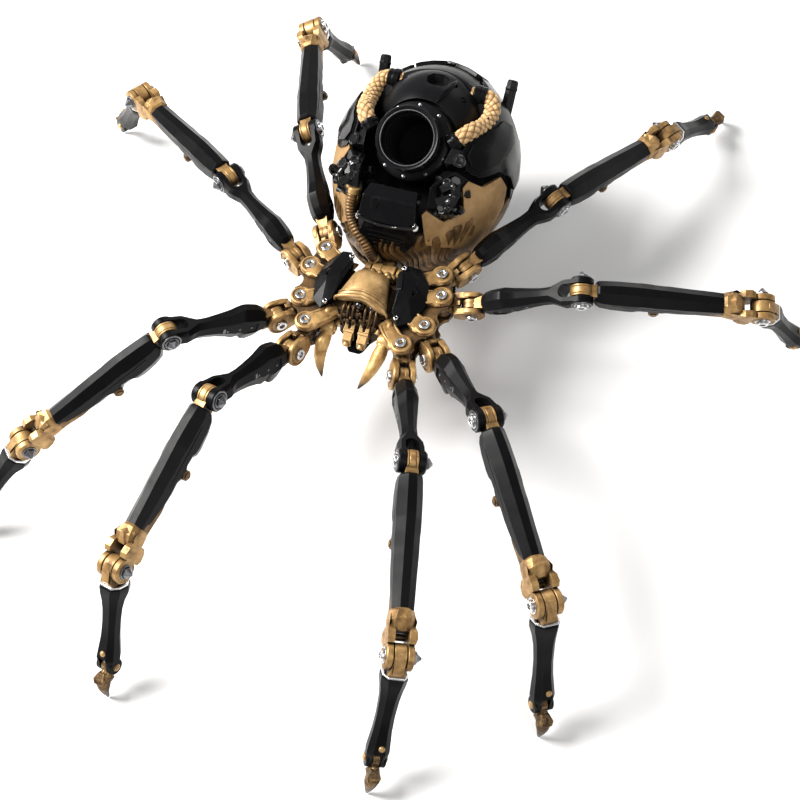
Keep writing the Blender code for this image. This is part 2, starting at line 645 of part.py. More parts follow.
def rear_half(offset):
    """Everything behind the slanted seam between the shell and the rear armour."""
    return hull([(sx * 80, y, z) for sx in (-1, 1) for y, z in [(84 + offset, -20), (66 + offset, 150), (220, -20), (220, 150)]])


def fitted(obj):
    cut(obj, crown_space(GAP))
    cut(obj, common(dome_ball(GAP), block((-60, 20, 65.6), (60, 140, 200))), barrel_space(), chin(GAP), engine(1, GAP), engine(-1, GAP), hose(1, 3.8 + GAP), hose(-1, 3.8 + GAP))
    return cut(obj, union(wing(1, GAP), post(1, GAP)), union(wing(-1, GAP), post(-1, GAP)))


def rib_patch(g0, g1, waves=0.0, u0=-0.95, u1=0.95, v0=0.10, v1=0.78, nu=26, nv=5):
    """A shell over the lower front of the egg with upright ribs, from g0 to g1 above it."""
    cx, cy, cz = EGG_CENTRE
    a, b, c = EGG_SEMI
    rings = []
    def point(u, v, g):
        lat = -v
        return (cx + (a + g) * math.cos(lat) * math.sin(u), cy - (b + g) * math.cos(lat) * math.cos(u), cz + (c + g) * math.sin(lat))
    for i in range(nu + 1):
        u = u0 + (u1 - u0) * i / nu
        wob = waves * (1 if i % 2 else -1)
        outer = [point(u, v0 + (v1 - v0) * j / nv, g1 + wob) for j in range(nv + 1)]
        inner = [point(u, v0 + (v1 - v0) * j / nv, g0) for j in range(nv, -1, -1)]
        rings.append(outer + inner)
    return loft(rings)


def leg_room(side):
    """Space kept free beside the abdomen for the rear femur."""
    return prism([(side * x, y) for x, y in [(16.2, 20.0), (47.0, 75.0), (90.0, 75.0), (90.0, 20.0)]], -10, 140)


ribs = cut(rib_patch(-1.4, 3.2, 0.6), leg_room(-1), leg_room(1), chin(GAP), engine(1, GAP), engine(-1, GAP), block((-9.4, 10, 45.5), (9.4, 40, 62)))
finish(ribs, "rib_flutes", "gold")

shell = fitted(cut(egg(), rear_half(0.0), leg_room(-1), leg_room(1)))
cut(shell, rib_patch(-1.4 - GAP, 6.0, 0.0, -0.95 - 0.012, 0.95 + 0.012, 0.10 - 0.012, 0.78 + 0.012, 18, 6))
cut(shell, block((-3.0 - GAP, 10, 51.6 - GAP), (3.0 + GAP, 30.0 + GAP, 55.4 + GAP)))
finish(shell, "abdomen_shell", "gold")
rear = fitted(cut(common(egg(0.6, 20, 10, (0, 79, 56), (38.5, 48, 31)), rear_half(GAP)), leg_room(-1), leg_room(1)))
finish(rear, "rear_armour", "black")

bpy.context.view_layer.update()
for leg, row in hinge_table.items():
    print("HINGE", leg, [tuple(round(c, 4) for c in v) for v in row[:6]], round(row[6], 4))
low = [1e9] * 3
high = [-1e9] * 3
for o in bpy.data.objects:
    for v in o.data.vertices:
        w = o.matrix_world @ v.co
        for i in range(3):
            low[i], high[i] = min(low[i], w[i] * 1000), max(high[i], w[i] * 1000)
print("BOX", [round(v, 3) for v in low], [round(v, 3) for v in high])
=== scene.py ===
"""Looks for the eight-legged spider machine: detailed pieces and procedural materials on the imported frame."""

import json
import math
import random

import bmesh
import bpy
from mathutils import Matrix, Vector, noise


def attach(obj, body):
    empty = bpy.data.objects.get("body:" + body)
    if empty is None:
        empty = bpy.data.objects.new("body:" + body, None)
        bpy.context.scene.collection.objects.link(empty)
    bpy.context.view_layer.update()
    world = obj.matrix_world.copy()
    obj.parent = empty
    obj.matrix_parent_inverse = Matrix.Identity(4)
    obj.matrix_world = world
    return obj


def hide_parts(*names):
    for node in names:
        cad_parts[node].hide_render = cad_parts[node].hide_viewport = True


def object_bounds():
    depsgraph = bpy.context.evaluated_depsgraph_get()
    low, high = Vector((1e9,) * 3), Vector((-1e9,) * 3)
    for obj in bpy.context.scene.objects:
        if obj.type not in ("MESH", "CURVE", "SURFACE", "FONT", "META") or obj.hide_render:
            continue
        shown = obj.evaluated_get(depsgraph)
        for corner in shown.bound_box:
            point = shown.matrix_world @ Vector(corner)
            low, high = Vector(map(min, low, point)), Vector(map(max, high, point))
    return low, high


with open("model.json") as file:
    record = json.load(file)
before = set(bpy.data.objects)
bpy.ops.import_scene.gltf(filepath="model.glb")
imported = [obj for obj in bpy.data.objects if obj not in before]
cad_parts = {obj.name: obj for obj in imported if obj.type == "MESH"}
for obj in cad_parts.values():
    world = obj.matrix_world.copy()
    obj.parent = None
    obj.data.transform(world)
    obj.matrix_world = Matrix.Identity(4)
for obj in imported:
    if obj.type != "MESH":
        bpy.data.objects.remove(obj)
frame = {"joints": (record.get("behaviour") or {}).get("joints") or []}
cad_lo, cad_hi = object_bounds()
JOINT = {j["name"]: j for j in frame["joints"]}
MM = 0.001
LEGS = ["r1", "r2", "r3", "r4", "l1", "l2", "l3", "l4"]


def joint_at(name):
    return Vector(JOINT[name]["pos_m"]) * 1000


SHIFT = joint_at("abdomen_pitch") - Vector((0.0, 19.4, 53.5))
HERE = Matrix.Translation(SHIFT * MM)


# ------------------------------------------------------------------ materials
def tree(name):
    mat = bpy.data.materials.new(name)
    mat.use_nodes = True
    return mat, mat.node_tree, mat.node_tree.nodes["Principled BSDF"]


def add(nt, kind, **values):
    node = nt.nodes.new(kind)
    for key, value in values.items():
        if key in node.inputs:
            node.inputs[key].default_value = value
        else:
            setattr(node, key, value)
    return node


def ramp(nt, source, stops):
    node = nt.nodes.new("ShaderNodeValToRGB")
    els = node.color_ramp.elements
    while len(els) < len(stops):
        els.new(0.5)
    for el, (pos, col) in zip(els, stops):
        el.position = pos
        el.color = col if len(col) == 4 else (*col, 1.0)
    nt.links.new(source, node.inputs[0])
    return node


def grain(nt, coords, scale, detail=5.0, rough=0.6, distortion=0.0):
    node = add(nt, "ShaderNodeTexNoise", Scale=scale, Detail=detail, Roughness=rough, Distortion=distortion)
    nt.links.new(coords, node.inputs["Vector"])
    return node.outputs["Fac"]


def mix_color(nt, fac, a, b, blend="MIX"):
    node = nt.nodes.new("ShaderNodeMix")
    node.data_type = "RGBA"
    node.blend_type = blend
    for value, socket in ((fac, 0), (a, 6), (b, 7)):
        if isinstance(value, (int, float)):
            node.inputs[socket].default_value = value
        elif isinstance(value, tuple):
            node.inputs[socket].default_value = (*value, 1.0)
        else:
            nt.links.new(value, node.inputs[socket])
    return node.outputs[2]


def math_node(nt, op, a, b=None, clamp=False):
    node = nt.nodes.new("ShaderNodeMath")
    node.operation = op
    node.use_clamp = clamp
    for i, value in enumerate((a, b)):
        if value is None:
            continue
        if isinstance(value, (int, float)):
            node.inputs[i].default_value = value
        else:
            nt.links.new(value, node.inputs[i])
    return node.outputs[0]


def edge_mask(nt, coords, radius, lo=0.80, hi=0.985):
    """1 on sharp outer and inner edges, broken up by grain, 0 on flat faces."""
    bev = add(nt, "ShaderNodeBevel", Radius=radius, samples=4)
    geo = nt.nodes.new("ShaderNodeNewGeometry")
    dot = nt.nodes.new("ShaderNodeVectorMath")
    dot.operation = "DOT_PRODUCT"
    nt.links.new(bev.outputs[0], dot.inputs[0])
    nt.links.new(geo.outputs["Normal"], dot.inputs[1])
    rng = add(nt, "ShaderNodeMapRange")
    nt.links.new(dot.outputs["Value"], rng.inputs["Value"])
    rng.inputs["From Min"].default_value = lo
    rng.inputs["From Max"].default_value = hi
    rng.inputs["To Min"].default_value = 1.0
    rng.inputs["To Max"].default_value = 0.0
    breakup = ramp(nt, grain(nt, coords, 620.0, 6.0, 0.65), [(0.38, (0, 0, 0)), (0.62, (1, 1, 1))]).outputs[0]
    return math_node(nt, "MULTIPLY", rng.outputs[0], breakup, True)


# painted shade: an ambient-occlusion mask, low in hollows and creases, used to darken the base colour there
def occlusion_shade(nt, distance):
    ao = add(nt, "ShaderNodeAmbientOcclusion", Distance=distance, samples=6)
    return ao.outputs["AO"]


def bumps(nt, bsdf, layers):
    last = None
    for height, strength, distance in layers:
        node = add(nt, "ShaderNodeBump", Strength=strength, Distance=distance)
        nt.links.new(height, node.inputs["Height"])
        if last is not None:
            nt.links.new(last, node.inputs["Normal"])
        last = node.outputs[0]
    nt.links.new(last, bsdf.inputs["Normal"])


def antique(name, light, mid, dark, metallic=0.62, rough=(0.34, 0.55), shade_reach=0.0045, streak=False):
    """Matte antique metal paint: mottled, painted shade darkening the hollows from an ambient-occlusion mask, rubbed
    bright edges.
    """
    mat, nt, bsdf = tree(name)
    co = nt.nodes.new("ShaderNodeTexCoord").outputs["Object"]
    mottled = grain(nt, co, 150.0, 6.0, 0.62, 0.4)
    fine = grain(nt, co, 1100.0, 4.0, 0.6)
    base = ramp(nt, mottled, [(0.30, dark), (0.46, mid), (0.66, light)]).outputs[0]
    base = mix_color(nt, math_node(nt, "MULTIPLY", fine, 0.30), base, mid)
    # painted shade: the hollows are mixed toward a very dark copy of the darkest tone
    shade_mask = ramp(nt, occlusion_shade(nt, shade_reach), [(0.38, (0, 0, 0)), (0.95, (1, 1, 1))]).outputs[0]
    hollow_shade = tuple(c * 0.22 for c in dark)
    base = mix_color(nt, shade_mask, hollow_shade, base)
    wear = edge_mask(nt, co, 0.00045)
    bright = tuple(min(1.0, c * 1.35 + 0.03) for c in light)
    base = mix_color(nt, math_node(nt, "MULTIPLY", wear, 0.8), base, bright)
    nt.links.new(base, bsdf.inputs["Base Color"])
    bsdf.inputs["Metallic"].default_value = metallic
    rgh = add(nt, "ShaderNodeMapRange")
    nt.links.new(mottled, rgh.inputs["Value"])
    rgh.inputs["From Min"].default_value = 0.3
    rgh.inputs["From Max"].default_value = 0.7
    rgh.inputs["To Min"].default_value = rough[1]
    rgh.inputs["To Max"].default_value = rough[0]
    nt.links.new(math_node(nt, "SUBTRACT", rgh.outputs[0], math_node(nt, "MULTIPLY", wear, 0.1)), bsdf.inputs["Roughness"])
    bumps(nt, bsdf, [(fine, 0.16, 0.00012), (mottled, 0.10, 0.0004)])
    return mat


def blackened(name, base, worn, rough=(0.24, 0.40), coat=0.0, wear_amount=0.5, scratches=0.5, spec=0.5):
    """Black enamel over metal: faint smudges, hairline scratches, paler rubbed edges."""
    mat, nt, bsdf = tree(name)
    co = nt.nodes.new("ShaderNodeTexCoord").outputs["Object"]
    smudge = grain(nt, co, 90.0, 5.0, 0.6, 0.6)
    fine = grain(nt, co, 1500.0, 3.0, 0.5)
    stretch = nt.nodes.new("ShaderNodeMapping")
    stretch.inputs["Scale"].default_value = (160.0, 2600.0, 2600.0)
    nt.links.new(co, stretch.inputs["Vector"])
    hair = add(nt, "ShaderNodeTexNoise", Scale=1.0, Detail=3.0, Roughness=0.6)
    nt.links.new(stretch.outputs[0], hair.inputs["Vector"])
    lines = ramp(nt, hair.outputs["Fac"], [(0.66, (0, 0, 0)), (0.74, (1, 1, 1))]).outputs[0]
    wear = edge_mask(nt, co, 0.0004)
    tone = mix_color(nt, smudge, base, tuple(c * 1.7 + 0.001 for c in base))
    tone = mix_color(nt, math_node(nt, "MULTIPLY", lines, 0.10 * scratches), tone, worn)
    tone = mix_color(nt, math_node(nt, "MULTIPLY", wear, wear_amount), tone, worn)
    nt.links.new(tone, bsdf.inputs["Base Color"])
    bsdf.inputs["Metallic"].default_value = 0.0
    bsdf.inputs["Specular IOR Level"].default_value = spec
    rgh = add(nt, "ShaderNodeMapRange")
    nt.links.new(smudge, rgh.inputs["Value"])
    rgh.inputs["From Min"].default_value = 0.3
    rgh.inputs["From Max"].default_value = 0.7
    rgh.inputs["To Min"].default_value = rough[0]
    rgh.inputs["To Max"].default_value = rough[1]
    nt.links.new(math_node(nt, "ADD", rgh.outputs[0], math_node(nt, "MULTIPLY", lines, 0.06)), bsdf.inputs["Roughness"])
    if coat:
        bsdf.inputs["Coat Weight"].default_value = coat
        bsdf.inputs["Coat Roughness"].default_value = 0.12
    bumps(nt, bsdf, [(fine, 0.07, 0.0001), (lines, 0.05, 0.00008), (smudge, 0.05, 0.0004)])
    return mat


def machined(name, color, dark, rough=(0.14, 0.32)):
    """Turned steel: concentric tool marks, smudged roughness, painted shade in the recess."""
    mat, nt, bsdf = tree(name)
    co = nt.nodes.new("ShaderNodeTexCoord").outputs["Object"]
    smudge = grain(nt, co, 420.0, 4.0, 0.6)
    wave = add(nt, "ShaderNodeTexNoise", Scale=3200.0, Detail=2.0, Roughness=0.5)
    nt.links.new(co, wave.inputs["Vector"])
    # painted shade: ambient occlusion darkens the recesses toward the dark colour
    shade_mask = ramp(nt, occlusion_shade(nt, 0.0018), [(0.2, (0, 0, 0)), (0.85, (1, 1, 1))]).outputs[0]
    tone = mix_color(nt, smudge, color, tuple(c * 0.72 for c in color))
    tone = mix_color(nt, shade_mask, dark, tone)
    nt.links.new(tone, bsdf.inputs["Base Color"])
    bsdf.inputs["Metallic"].default_value = 1.0
    rgh = add(nt, "ShaderNodeMapRange")
    nt.links.new(smudge, rgh.inputs["Value"])
    rgh.inputs["To Min"].default_value = rough[0]
    rgh.inputs["To Max"].default_value = rough[1]
    nt.links.new(rgh.outputs[0], bsdf.inputs["Roughness"])
    bumps(nt, bsdf, [(wave.outputs["Fac"], 0.06, 0.00008)])
    return mat


def braid_material():
    """Pale woven sleeve: each strand given its own tone, and painted shade darkens the low points where strands cross.
    """
    mat, nt, bsdf = tree("braided_sleeve")
    co = nt.nodes.new("ShaderNodeTexCoord").outputs["Object"]
    attr = add(nt, "ShaderNodeAttribute", attribute_name="weave")
    split = nt.nodes.new("ShaderNodeSeparateColor")
    nt.links.new(attr.outputs["Color"], split.inputs[0])
    height, shade, along = split.outputs[0], split.outputs[1], split.outputs[2]
    # painted shade: the weave's height channel colours the low parts near-black and the strand tops pale
    base = ramp(nt, height, [(0.10, (0.035, 0.018, 0.006)), (0.38, (0.30, 0.165, 0.058)), (0.72, (0.62, 0.39, 0.165)), (0.97, (0.80, 0.57, 0.29))]).outputs[0]
    tint = ramp(nt, shade, [(0.0, (0.55, 0.42, 0.28)), (1.0, (1.0, 0.95, 0.86))]).outputs[0]
    base = mix_color(nt, 0.75, base, tint, "MULTIPLY")
    threads = add(nt, "ShaderNodeTexNoise", Scale=2600.0, Detail=4.0, Roughness=0.7)
    nt.links.new(co, threads.inputs["Vector"])
    base = mix_color(nt, math_node(nt, "MULTIPLY", threads.outputs["Fac"], 0.35), base, (0.42, 0.28, 0.13))
    nt.links.new(base, bsdf.inputs["Base Color"])
    bsdf.inputs["Sheen Weight"].default_value = 0.25
    bsdf.inputs["Sheen Roughness"].default_value = 0.4
    nt.links.new(ramp(nt, threads.outputs["Fac"], [(0.3, (0.42,) * 3), (0.7, (0.68,) * 3)]).outputs[0], bsdf.inputs["Roughness"])
    bumps(nt, bsdf, [(along, 0.30, 0.00012), (threads.outputs["Fac"], 0.25, 0.0001)])
    return mat


def talon_material(name="claw_horn"):
    """Dark bronze talon: mottled brown metal darkening to a near-black tip."""
    mat, nt, bsdf = tree(name)
    co = nt.nodes.new("ShaderNodeTexCoord").outputs["Object"]
    attr = add(nt, "ShaderNodeAttribute", attribute_name="tip")
    mottled = grain(nt, co, 330.0, 6.0, 0.7, 0.5)
    fine = grain(nt, co, 1800.0, 3.0, 0.5)
    base = ramp(nt, mottled, [(0.34, (0.022, 0.013, 0.008)), (0.52, (0.12, 0.068, 0.027)), (0.70, (0.38, 0.24, 0.095))]).outputs[0]
    base = mix_color(nt, ramp(nt, attr.outputs["Fac"], [(0.30, (0, 0, 0)), (0.95, (0.85,) * 3)]).outputs[0], base, (0.012, 0.010, 0.010))
    wear = edge_mask(nt, co, 0.0004)
    base = mix_color(nt, math_node(nt, "MULTIPLY", wear, 0.55), base, (0.55, 0.38, 0.18))
    nt.links.new(base, bsdf.inputs["Base Color"])
    bsdf.inputs["Metallic"].default_value = 0.7
    nt.links.new(ramp(nt, mottled, [(0.3, (0.46,) * 3), (0.7, (0.28,) * 3)]).outputs[0], bsdf.inputs["Roughness"])
    bumps(nt, bsdf, [(mottled, 0.18, 0.0003), (fine, 0.10, 0.0001)])
    return mat


def fang_material():
    """Gold fang with a rubbed back, darkening to a black-brown tip."""
    mat, nt, bsdf = tree("fang_gold")
    co = nt.nodes.new("ShaderNodeTexCoord").outputs["Object"]
    attr = add(nt, "ShaderNodeAttribute", attribute_name="tip")
    mottled = grain(nt, co, 200.0, 6.0, 0.65, 0.4)
    fine = grain(nt, co, 1400.0, 4.0, 0.6)
    base = ramp(nt, mottled, [(0.30, (0.26, 0.14, 0.048)), (0.48, (0.52, 0.31, 0.11)), (0.68, (0.72, 0.48, 0.20))]).outputs[0]
    fade = math_node(nt, "ADD", attr.outputs["Fac"], math_node(nt, "MULTIPLY", math_node(nt, "SUBTRACT", mottled, 0.5), 0.5))
    base = mix_color(nt, ramp(nt, fade, [(0.62, (0, 0, 0)), (0.93, (0.96,) * 3)]).outputs[0], base, (0.022, 0.014, 0.009))
    wear = edge_mask(nt, co, 0.0004)
    base = mix_color(nt, math_node(nt, "MULTIPLY", wear, 0.5), base, (0.85, 0.63, 0.34))
    nt.links.new(base, bsdf.inputs["Base Color"])
    bsdf.inputs["Metallic"].default_value = 0.5
    nt.links.new(ramp(nt, mottled, [(0.3, (0.50,) * 3), (0.7, (0.34,) * 3)]).outputs[0], bsdf.inputs["Roughness"])
    bumps(nt, bsdf, [(mottled, 0.12, 0.0004), (fine, 0.14, 0.0001)])
    return mat


GOLD = antique("antique_gold", (0.54, 0.335, 0.130), (0.285, 0.160, 0.054), (0.070, 0.034, 0.011), 0.5)
GOLD_PANEL = antique("antique_gold_panel", (0.47, 0.285, 0.118), (0.38, 0.222, 0.088), (0.25, 0.14, 0.052), 0.35, (0.42, 0.60), 0.006)
GOLD_PALE = antique("pale_gold", (0.60, 0.385, 0.165), (0.36, 0.215, 0.082), (0.12, 0.06, 0.022), 0.5, (0.30, 0.46), 0.005)
BRONZE = antique("rib_bronze", (0.27, 0.150, 0.052), (0.115, 0.060, 0.019), (0.030, 0.015, 0.005), 0.5, (0.36, 0.56), 0.005)
DARK_BRONZE = antique("dark_bronze", (0.15, 0.082, 0.027), (0.055, 0.029, 0.011), (0.016, 0.009, 0.005), 0.6, (0.34, 0.52), 0.005)
LEG_BLACK = blackened("leg_black", (0.0020, 0.0020, 0.0024), (0.060, 0.058, 0.056), (0.27, 0.42), 0.0, 0.40, 0.7, 0.085)
GLOSS_BLACK = blackened("gloss_black", (0.0018, 0.0018, 0.0022), (0.075, 0.075, 0.078), (0.16, 0.28), 0.0, 0.40, 0.3, 0.12)
WET_BLACK = blackened("wet_black", (0.0018, 0.0018, 0.0022), (0.12, 0.12, 0.125), (0.09, 0.18), 0.35, 0.5, 0.3, 0.34)
DOME_BLACK = blackened("dome_black", (0.0030, 0.0030, 0.0036), (0.075, 0.075, 0.078), (0.24, 0.36), 0.0, 0.42, 0.3, 0.13)
# painted shade: a darker, rougher black laid into the turret scoop and the cannon bore so they read as dark recesses
RECESS_SHADE_BLACK = blackened("recess_shade_black", (0.0016, 0.0016, 0.0018), (0.02, 0.02, 0.02), (0.55, 0.75), 0.0, 0.1, 0.2, 0.2)
STEEL = machined("screw_steel", (0.86, 0.86, 0.87), (0.05, 0.05, 0.055))
DARK_STEEL = machined("dark_steel", (0.20, 0.20, 0.21), (0.015, 0.015, 0.016), (0.22, 0.42))
BRAID = braid_material()
TALON = talon_material()
FANG = fang_material()


def lens_material():
    mat, nt, bsdf = tree("eye_glass")
    co = nt.nodes.new("ShaderNodeTexCoord").outputs["Object"]
    swirl = grain(nt, co, 260.0, 3.0, 0.5, 1.0)
    tone = ramp(nt, swirl, [(0.35, (0.004, 0.003, 0.005)), (0.7, (0.018, 0.008, 0.016))]).outputs[0]
    nt.links.new(tone, bsdf.inputs["Base Color"])
    nt.links.new(ramp(nt, swirl, [(0.3, (0.04,) * 3), (0.7, (0.10,) * 3)]).outputs[0], bsdf.inputs["Roughness"])
    bsdf.inputs["Coat Weight"].default_value = 1.0
    bsdf.inputs["Coat Roughness"].default_value = 0.03
    return mat


LENS = lens_material()


# ------------------------------------------------------------------ mesh tools (millimetres)
def loft(rings, cap=True, closed=False):
    bm = bmesh.new()
    rows = [[bm.verts.new(p) for p in ring] for ring in rings]
    n = len(rows[0])
    pairs = list(zip(rows, rows[1:])) + ([(rows[-1], rows[0])] if closed else [])
    for a, b in pairs:
        for i in range(n):
            bm.faces.new((a[i], a[(i + 1) % n], b[(i + 1) % n], b[i]))
    if cap and not closed:
        bm.faces.new(rows[0])
        bm.faces.new(rows[-1])
    bmesh.ops.recalc_face_normals(bm, faces=bm.faces)
    return bm


def hull(points):
    bm = bmesh.new()
    for p in points:
        bm.verts.new(p)
    bmesh.ops.convex_hull(bm, input=bm.verts)
    bmesh.ops.delete(bm, geom=[v for v in bm.verts if not v.link_faces], context="VERTS")
    bmesh.ops.dissolve_limit(bm, angle_limit=0.02, verts=bm.verts, edges=bm.edges)
    bmesh.ops.recalc_face_normals(bm, faces=bm.faces)
    return bm


def block(lo, hi):
    return hull([(x, y, z) for x in (lo[0], hi[0]) for y in (lo[1], hi[1]) for z in (lo[2], hi[2])])


def frame_of(axis):
    a = Vector(axis).normalized()
    u = Vector((1, 0, 0)) if abs(a.x) < 0.9 else Vector((0, 0, 1))
    u = (u - a * u.dot(a)).normalized()
    return u, a.cross(u), a


def turned(profile, origin, axis, n=32):
    """A body of revolution from (radius, distance) pairs, ends closed."""
    u, v, a = frame_of(axis)
    o = Vector(origin)
    rings = []
    for r, s in profile:
        rings.append([o + a * s + (u * math.cos(t) + v * math.sin(t)) * max(r, 0.01) for t in [2 * math.pi * i / n for i in range(n)]])
    return loft(rings)


def turned_ring(profile, origin, axis, n=48):
    """A ring of revolution: the profile is a closed loop."""
    u, v, a = frame_of(axis)
    o = Vector(origin)
    rings = []
    for i in range(n):
        t = 2 * math.pi * i / n
        d = u * math.cos(t) + v * math.sin(t)
        rings.append([o + a * s + d * r for r, s in profile])
    return loft(rings, closed=True)


def rod(p, q, r, n=20, r2=None, edge=0.25):
    p, q = Vector(p), Vector(q)
    length = (q - p).length
    r2 = r if r2 is None else r2
    e = min(edge, length * 0.3)
    return turned([(r - e, 0), (r, e), (r2, length - e), (r2 - e, length)], p, q - p, n)


def torus(origin, axis, big, small, n=48, m=12, squash=1.0):
    return turned_ring([(big + small * math.cos(t), small * squash * math.sin(t)) for t in [2 * math.pi * k / m for k in range(m)]], origin, axis, n)


def spline(points, count):
    """Catmull-Rom points through the given ones."""
    pts = [Vector(p) for p in points]
    ext = [pts[0] * 2 - pts[1]] + pts + [pts[-1] * 2 - pts[-2]]
    out = []
    segs = len(pts) - 1
    for k in range(count):
        s = k / (count - 1) * segs
        i = min(int(s), segs - 1)
        t = s - i
        a, b, c, d = ext[i:i + 4]
        out.append(0.5 * ((2 * b) + (c - a) * t + (2 * a - 5 * b + 4 * c - d) * t * t + (3 * b - a - 3 * c + d) * t ** 3))
    return out


def frames_along(path):
    prev = None
    out = []
    for i, p in enumerate(path):
        t = (path[min(i + 1, len(path) - 1)] - path[max(i - 1, 0)]).normalized()
        if prev is None:
            u, v, _ = frame_of(t)
        else:
            u = (prev - t * prev.dot(t)).normalized()
            v = t.cross(u)
        prev = u
        out.append((p, t, u, v))
    return out


def sweep(points, radius, n=16, count=None, flat=1.0):
    path = spline(points, count or max(8, len(points) * 6))
    rings = []
    m = len(path) - 1
    for i, (p, t, u, v) in enumerate(frames_along(path)):
        r = radius(i / m) if callable(radius) else radius
        rings.append([p + (u * math.cos(a) + v * math.sin(a) * flat) * r for a in [2 * math.pi * k / n for k in range(n)]])
    return loft(rings)


def moved(bm, matrix):
    bmesh.ops.transform(bm, matrix=matrix, verts=bm.verts)
    if matrix.determinant() < 0:
        bmesh.ops.reverse_faces(bm, faces=bm.faces)
    return bm


def joined(*parts):
    out = bmesh.new()
    for part in parts:
        me = bpy.data.meshes.new("t")
        part.to_mesh(me)
        out.from_mesh(me)
        bpy.data.meshes.remove(me)
        part.free()
    return out


def scratch(bm):
    me = bpy.data.meshes.new("t")
    bm.to_mesh(me)
    bm.free()
    o = bpy.data.objects.new("t", me)
    bpy.context.scene.collection.objects.link(o)
    return o


def evaluated(o):
    bpy.context.view_layer.update()
    dg = bpy.context.evaluated_depsgraph_get()
    return bpy.data.meshes.new_from_object(o.evaluated_get(dg), preserve_all_data_layers=True, depsgraph=dg)


def boolean(a, b, op="DIFFERENCE"):
    oa, ob = scratch(a), scratch(b)
    mod = oa.modifiers.new("b", "BOOLEAN")
    mod.operation, mod.solver, mod.object = op, "EXACT", ob
    me = evaluated(oa)
    out = bmesh.new()
    out.from_mesh(me)
    for o in (oa, ob):
        old = o.data
        bpy.data.objects.remove(o, do_unlink=True)
        bpy.data.meshes.remove(old)
    bpy.data.meshes.remove(me)
    bmesh.ops.remove_doubles(out, verts=out.verts, dist=1e-3)
    bmesh.ops.dissolve_limit(out, angle_limit=0.01, verts=out.verts, edges=out.edges)
    return out


def cut(a, *bs):
    for b in bs:
        a = boolean(a, b)
    return a


def union(a, *bs):
    for b in bs:
        a = boolean(a, b, "UNION")
    return a


def as_mesh(bm, mat, bevel=0.3, segments=2, angle=28.0, smooth_angle=None, subsurf=0):
    """Bevelled, smooth-shaded and scaled to metres, ready to be shared between pieces."""
    o = scratch(bm)
    o.data.shade_smooth()
    if smooth_angle is not None:
        o.data.set_sharp_from_angle(angle=math.radians(smooth_angle))
    if bevel:
        mod = o.modifiers.new("bevel", "BEVEL")
        mod.width, mod.segments, mod.limit_method, mod.angle_limit = bevel, segments, "ANGLE", math.radians(angle)
        mod.harden_normals = False
        mod.use_clamp_overlap = True
    if subsurf:
        mod = o.modifiers.new("soft", "SUBSURF")
        mod.levels = mod.render_levels = subsurf
    if bevel and smooth_angle is None:
        mod = o.modifiers.new("normals", "WEIGHTED_NORMAL")
        mod.keep_sharp = True
        mod.weight = 80
    me = evaluated(o)
    old = o.data
    bpy.data.objects.remove(o, do_unlink=True)
    bpy.data.meshes.remove(old)
    me.transform(Matrix.Scale(MM, 4))
    me.materials.clear()
    me.materials.append(mat)
    return me


def smooth_mesh(bm, mat, angle=32):
    return as_mesh(bm, mat, 0.0, smooth_angle=angle)


def put(name, mesh, body, matrix=None, replaces=()):
    mesh = mesh.copy()
    mesh.name = name
    mesh.transform(HERE if matrix is None else matrix)
    for v in mesh.vertices:
        # keeps a screw head or a claw's skin inside the whole object's box
        for i in range(3):
            v.co[i] = min(max(v.co[i], cad_lo[i] + 2e-5), cad_hi[i] - 2e-5)
    o = bpy.data.objects.new(name, mesh)
    bpy.context.scene.collection.objects.link(o)
    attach(o, body)
    if replaces:
        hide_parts(*replaces)
    return o


def ring8(x, w, top, bottom, ridge=0.36, waist=0.26, keel=0.42, low=0.34, lean=0.0):
    """Section of a leg piece: flat ridge strip, sloped shoulders, upright cheeks, narrow keel."""
    h = w / 2
    mid = top - (top - bottom) * waist
    lo = bottom + (top - bottom) * low
    pts = [(h * ridge, top), (h, mid), (h, lo), (h * keel, bottom), (-h * keel, bottom), (-h, lo), (-h, mid), (-h * ridge, top)]
    return [(x + lean * (z - top), y, z) for y, z in pts]


def cap_screw(x, y, z, side, r=2.2, h=1.5, m=24):
    """Socket cap screw standing out along side*Y, with its hexagonal socket."""
    o = Vector((x, y, z))
    a = Vector((0, side, 0))
    u, v, _ = frame_of(a)
    prof = [(r * 0.9, -0.4), (r, -0.2), (r, h - 0.35), (r - 0.12, h - 0.12), (r - 0.38, h)]
    rings = [[o + a * s + (u * math.cos(t) + v * math.sin(t)) * q for t in [2 * math.pi * i / m for i in range(m)]] for q, s in prof]
    for q, s in ((r * 0.60, h), (r * 0.56, h - 0.15), (r * 0.52, h - 0.95)):
        ring = []
        for i in range(m):
            t = 2 * math.pi * i / m
            sector = (t + math.pi / 6) % (math.pi / 3) - math.pi / 6
            ring.append(o + a * s + (u * math.cos(t) + v * math.sin(t)) * (q * math.cos(math.pi / 6) / math.cos(sector)))
        rings.append(ring)
    return loft(rings)


def dome_nut(x, y, z, side, r=2.9, h=3.4):
    """Flanged hexagon nut that rises to a blunt point."""
    o = Vector((x, y, z))
    a = Vector((0, side, 0))
    flange = turned([(r * 1.05, -0.3), (r * 1.18, 0.0), (r * 1.18, 0.45), (r * 0.98, 0.7)], o, a, 28)
    u, v, _ = frame_of(a)
    hexes = [[o + a * s + (u * math.cos(t) + v * math.sin(t)) * q for t in [math.pi / 3 * i + 0.2 for i in range(6)]]
             for q, s in ((r, 0.4), (r, 1.5), (r * 0.66, 2.2), (r * 0.2, h))]
    return joined(flange, loft(hexes))


# ------------------------------------------------------------------ leg frames from the joints
def basis(origin, x_to, n):
    x = (x_to - origin).normalized()
    y = (n - x * n.dot(x)).normalized()
    z = x.cross(y)
    m = Matrix.Identity(4)
    for i in range(3):
        m[i][0], m[i][1], m[i][2], m[i][3] = x[i], y[i], z[i], origin[i] * MM
    return m


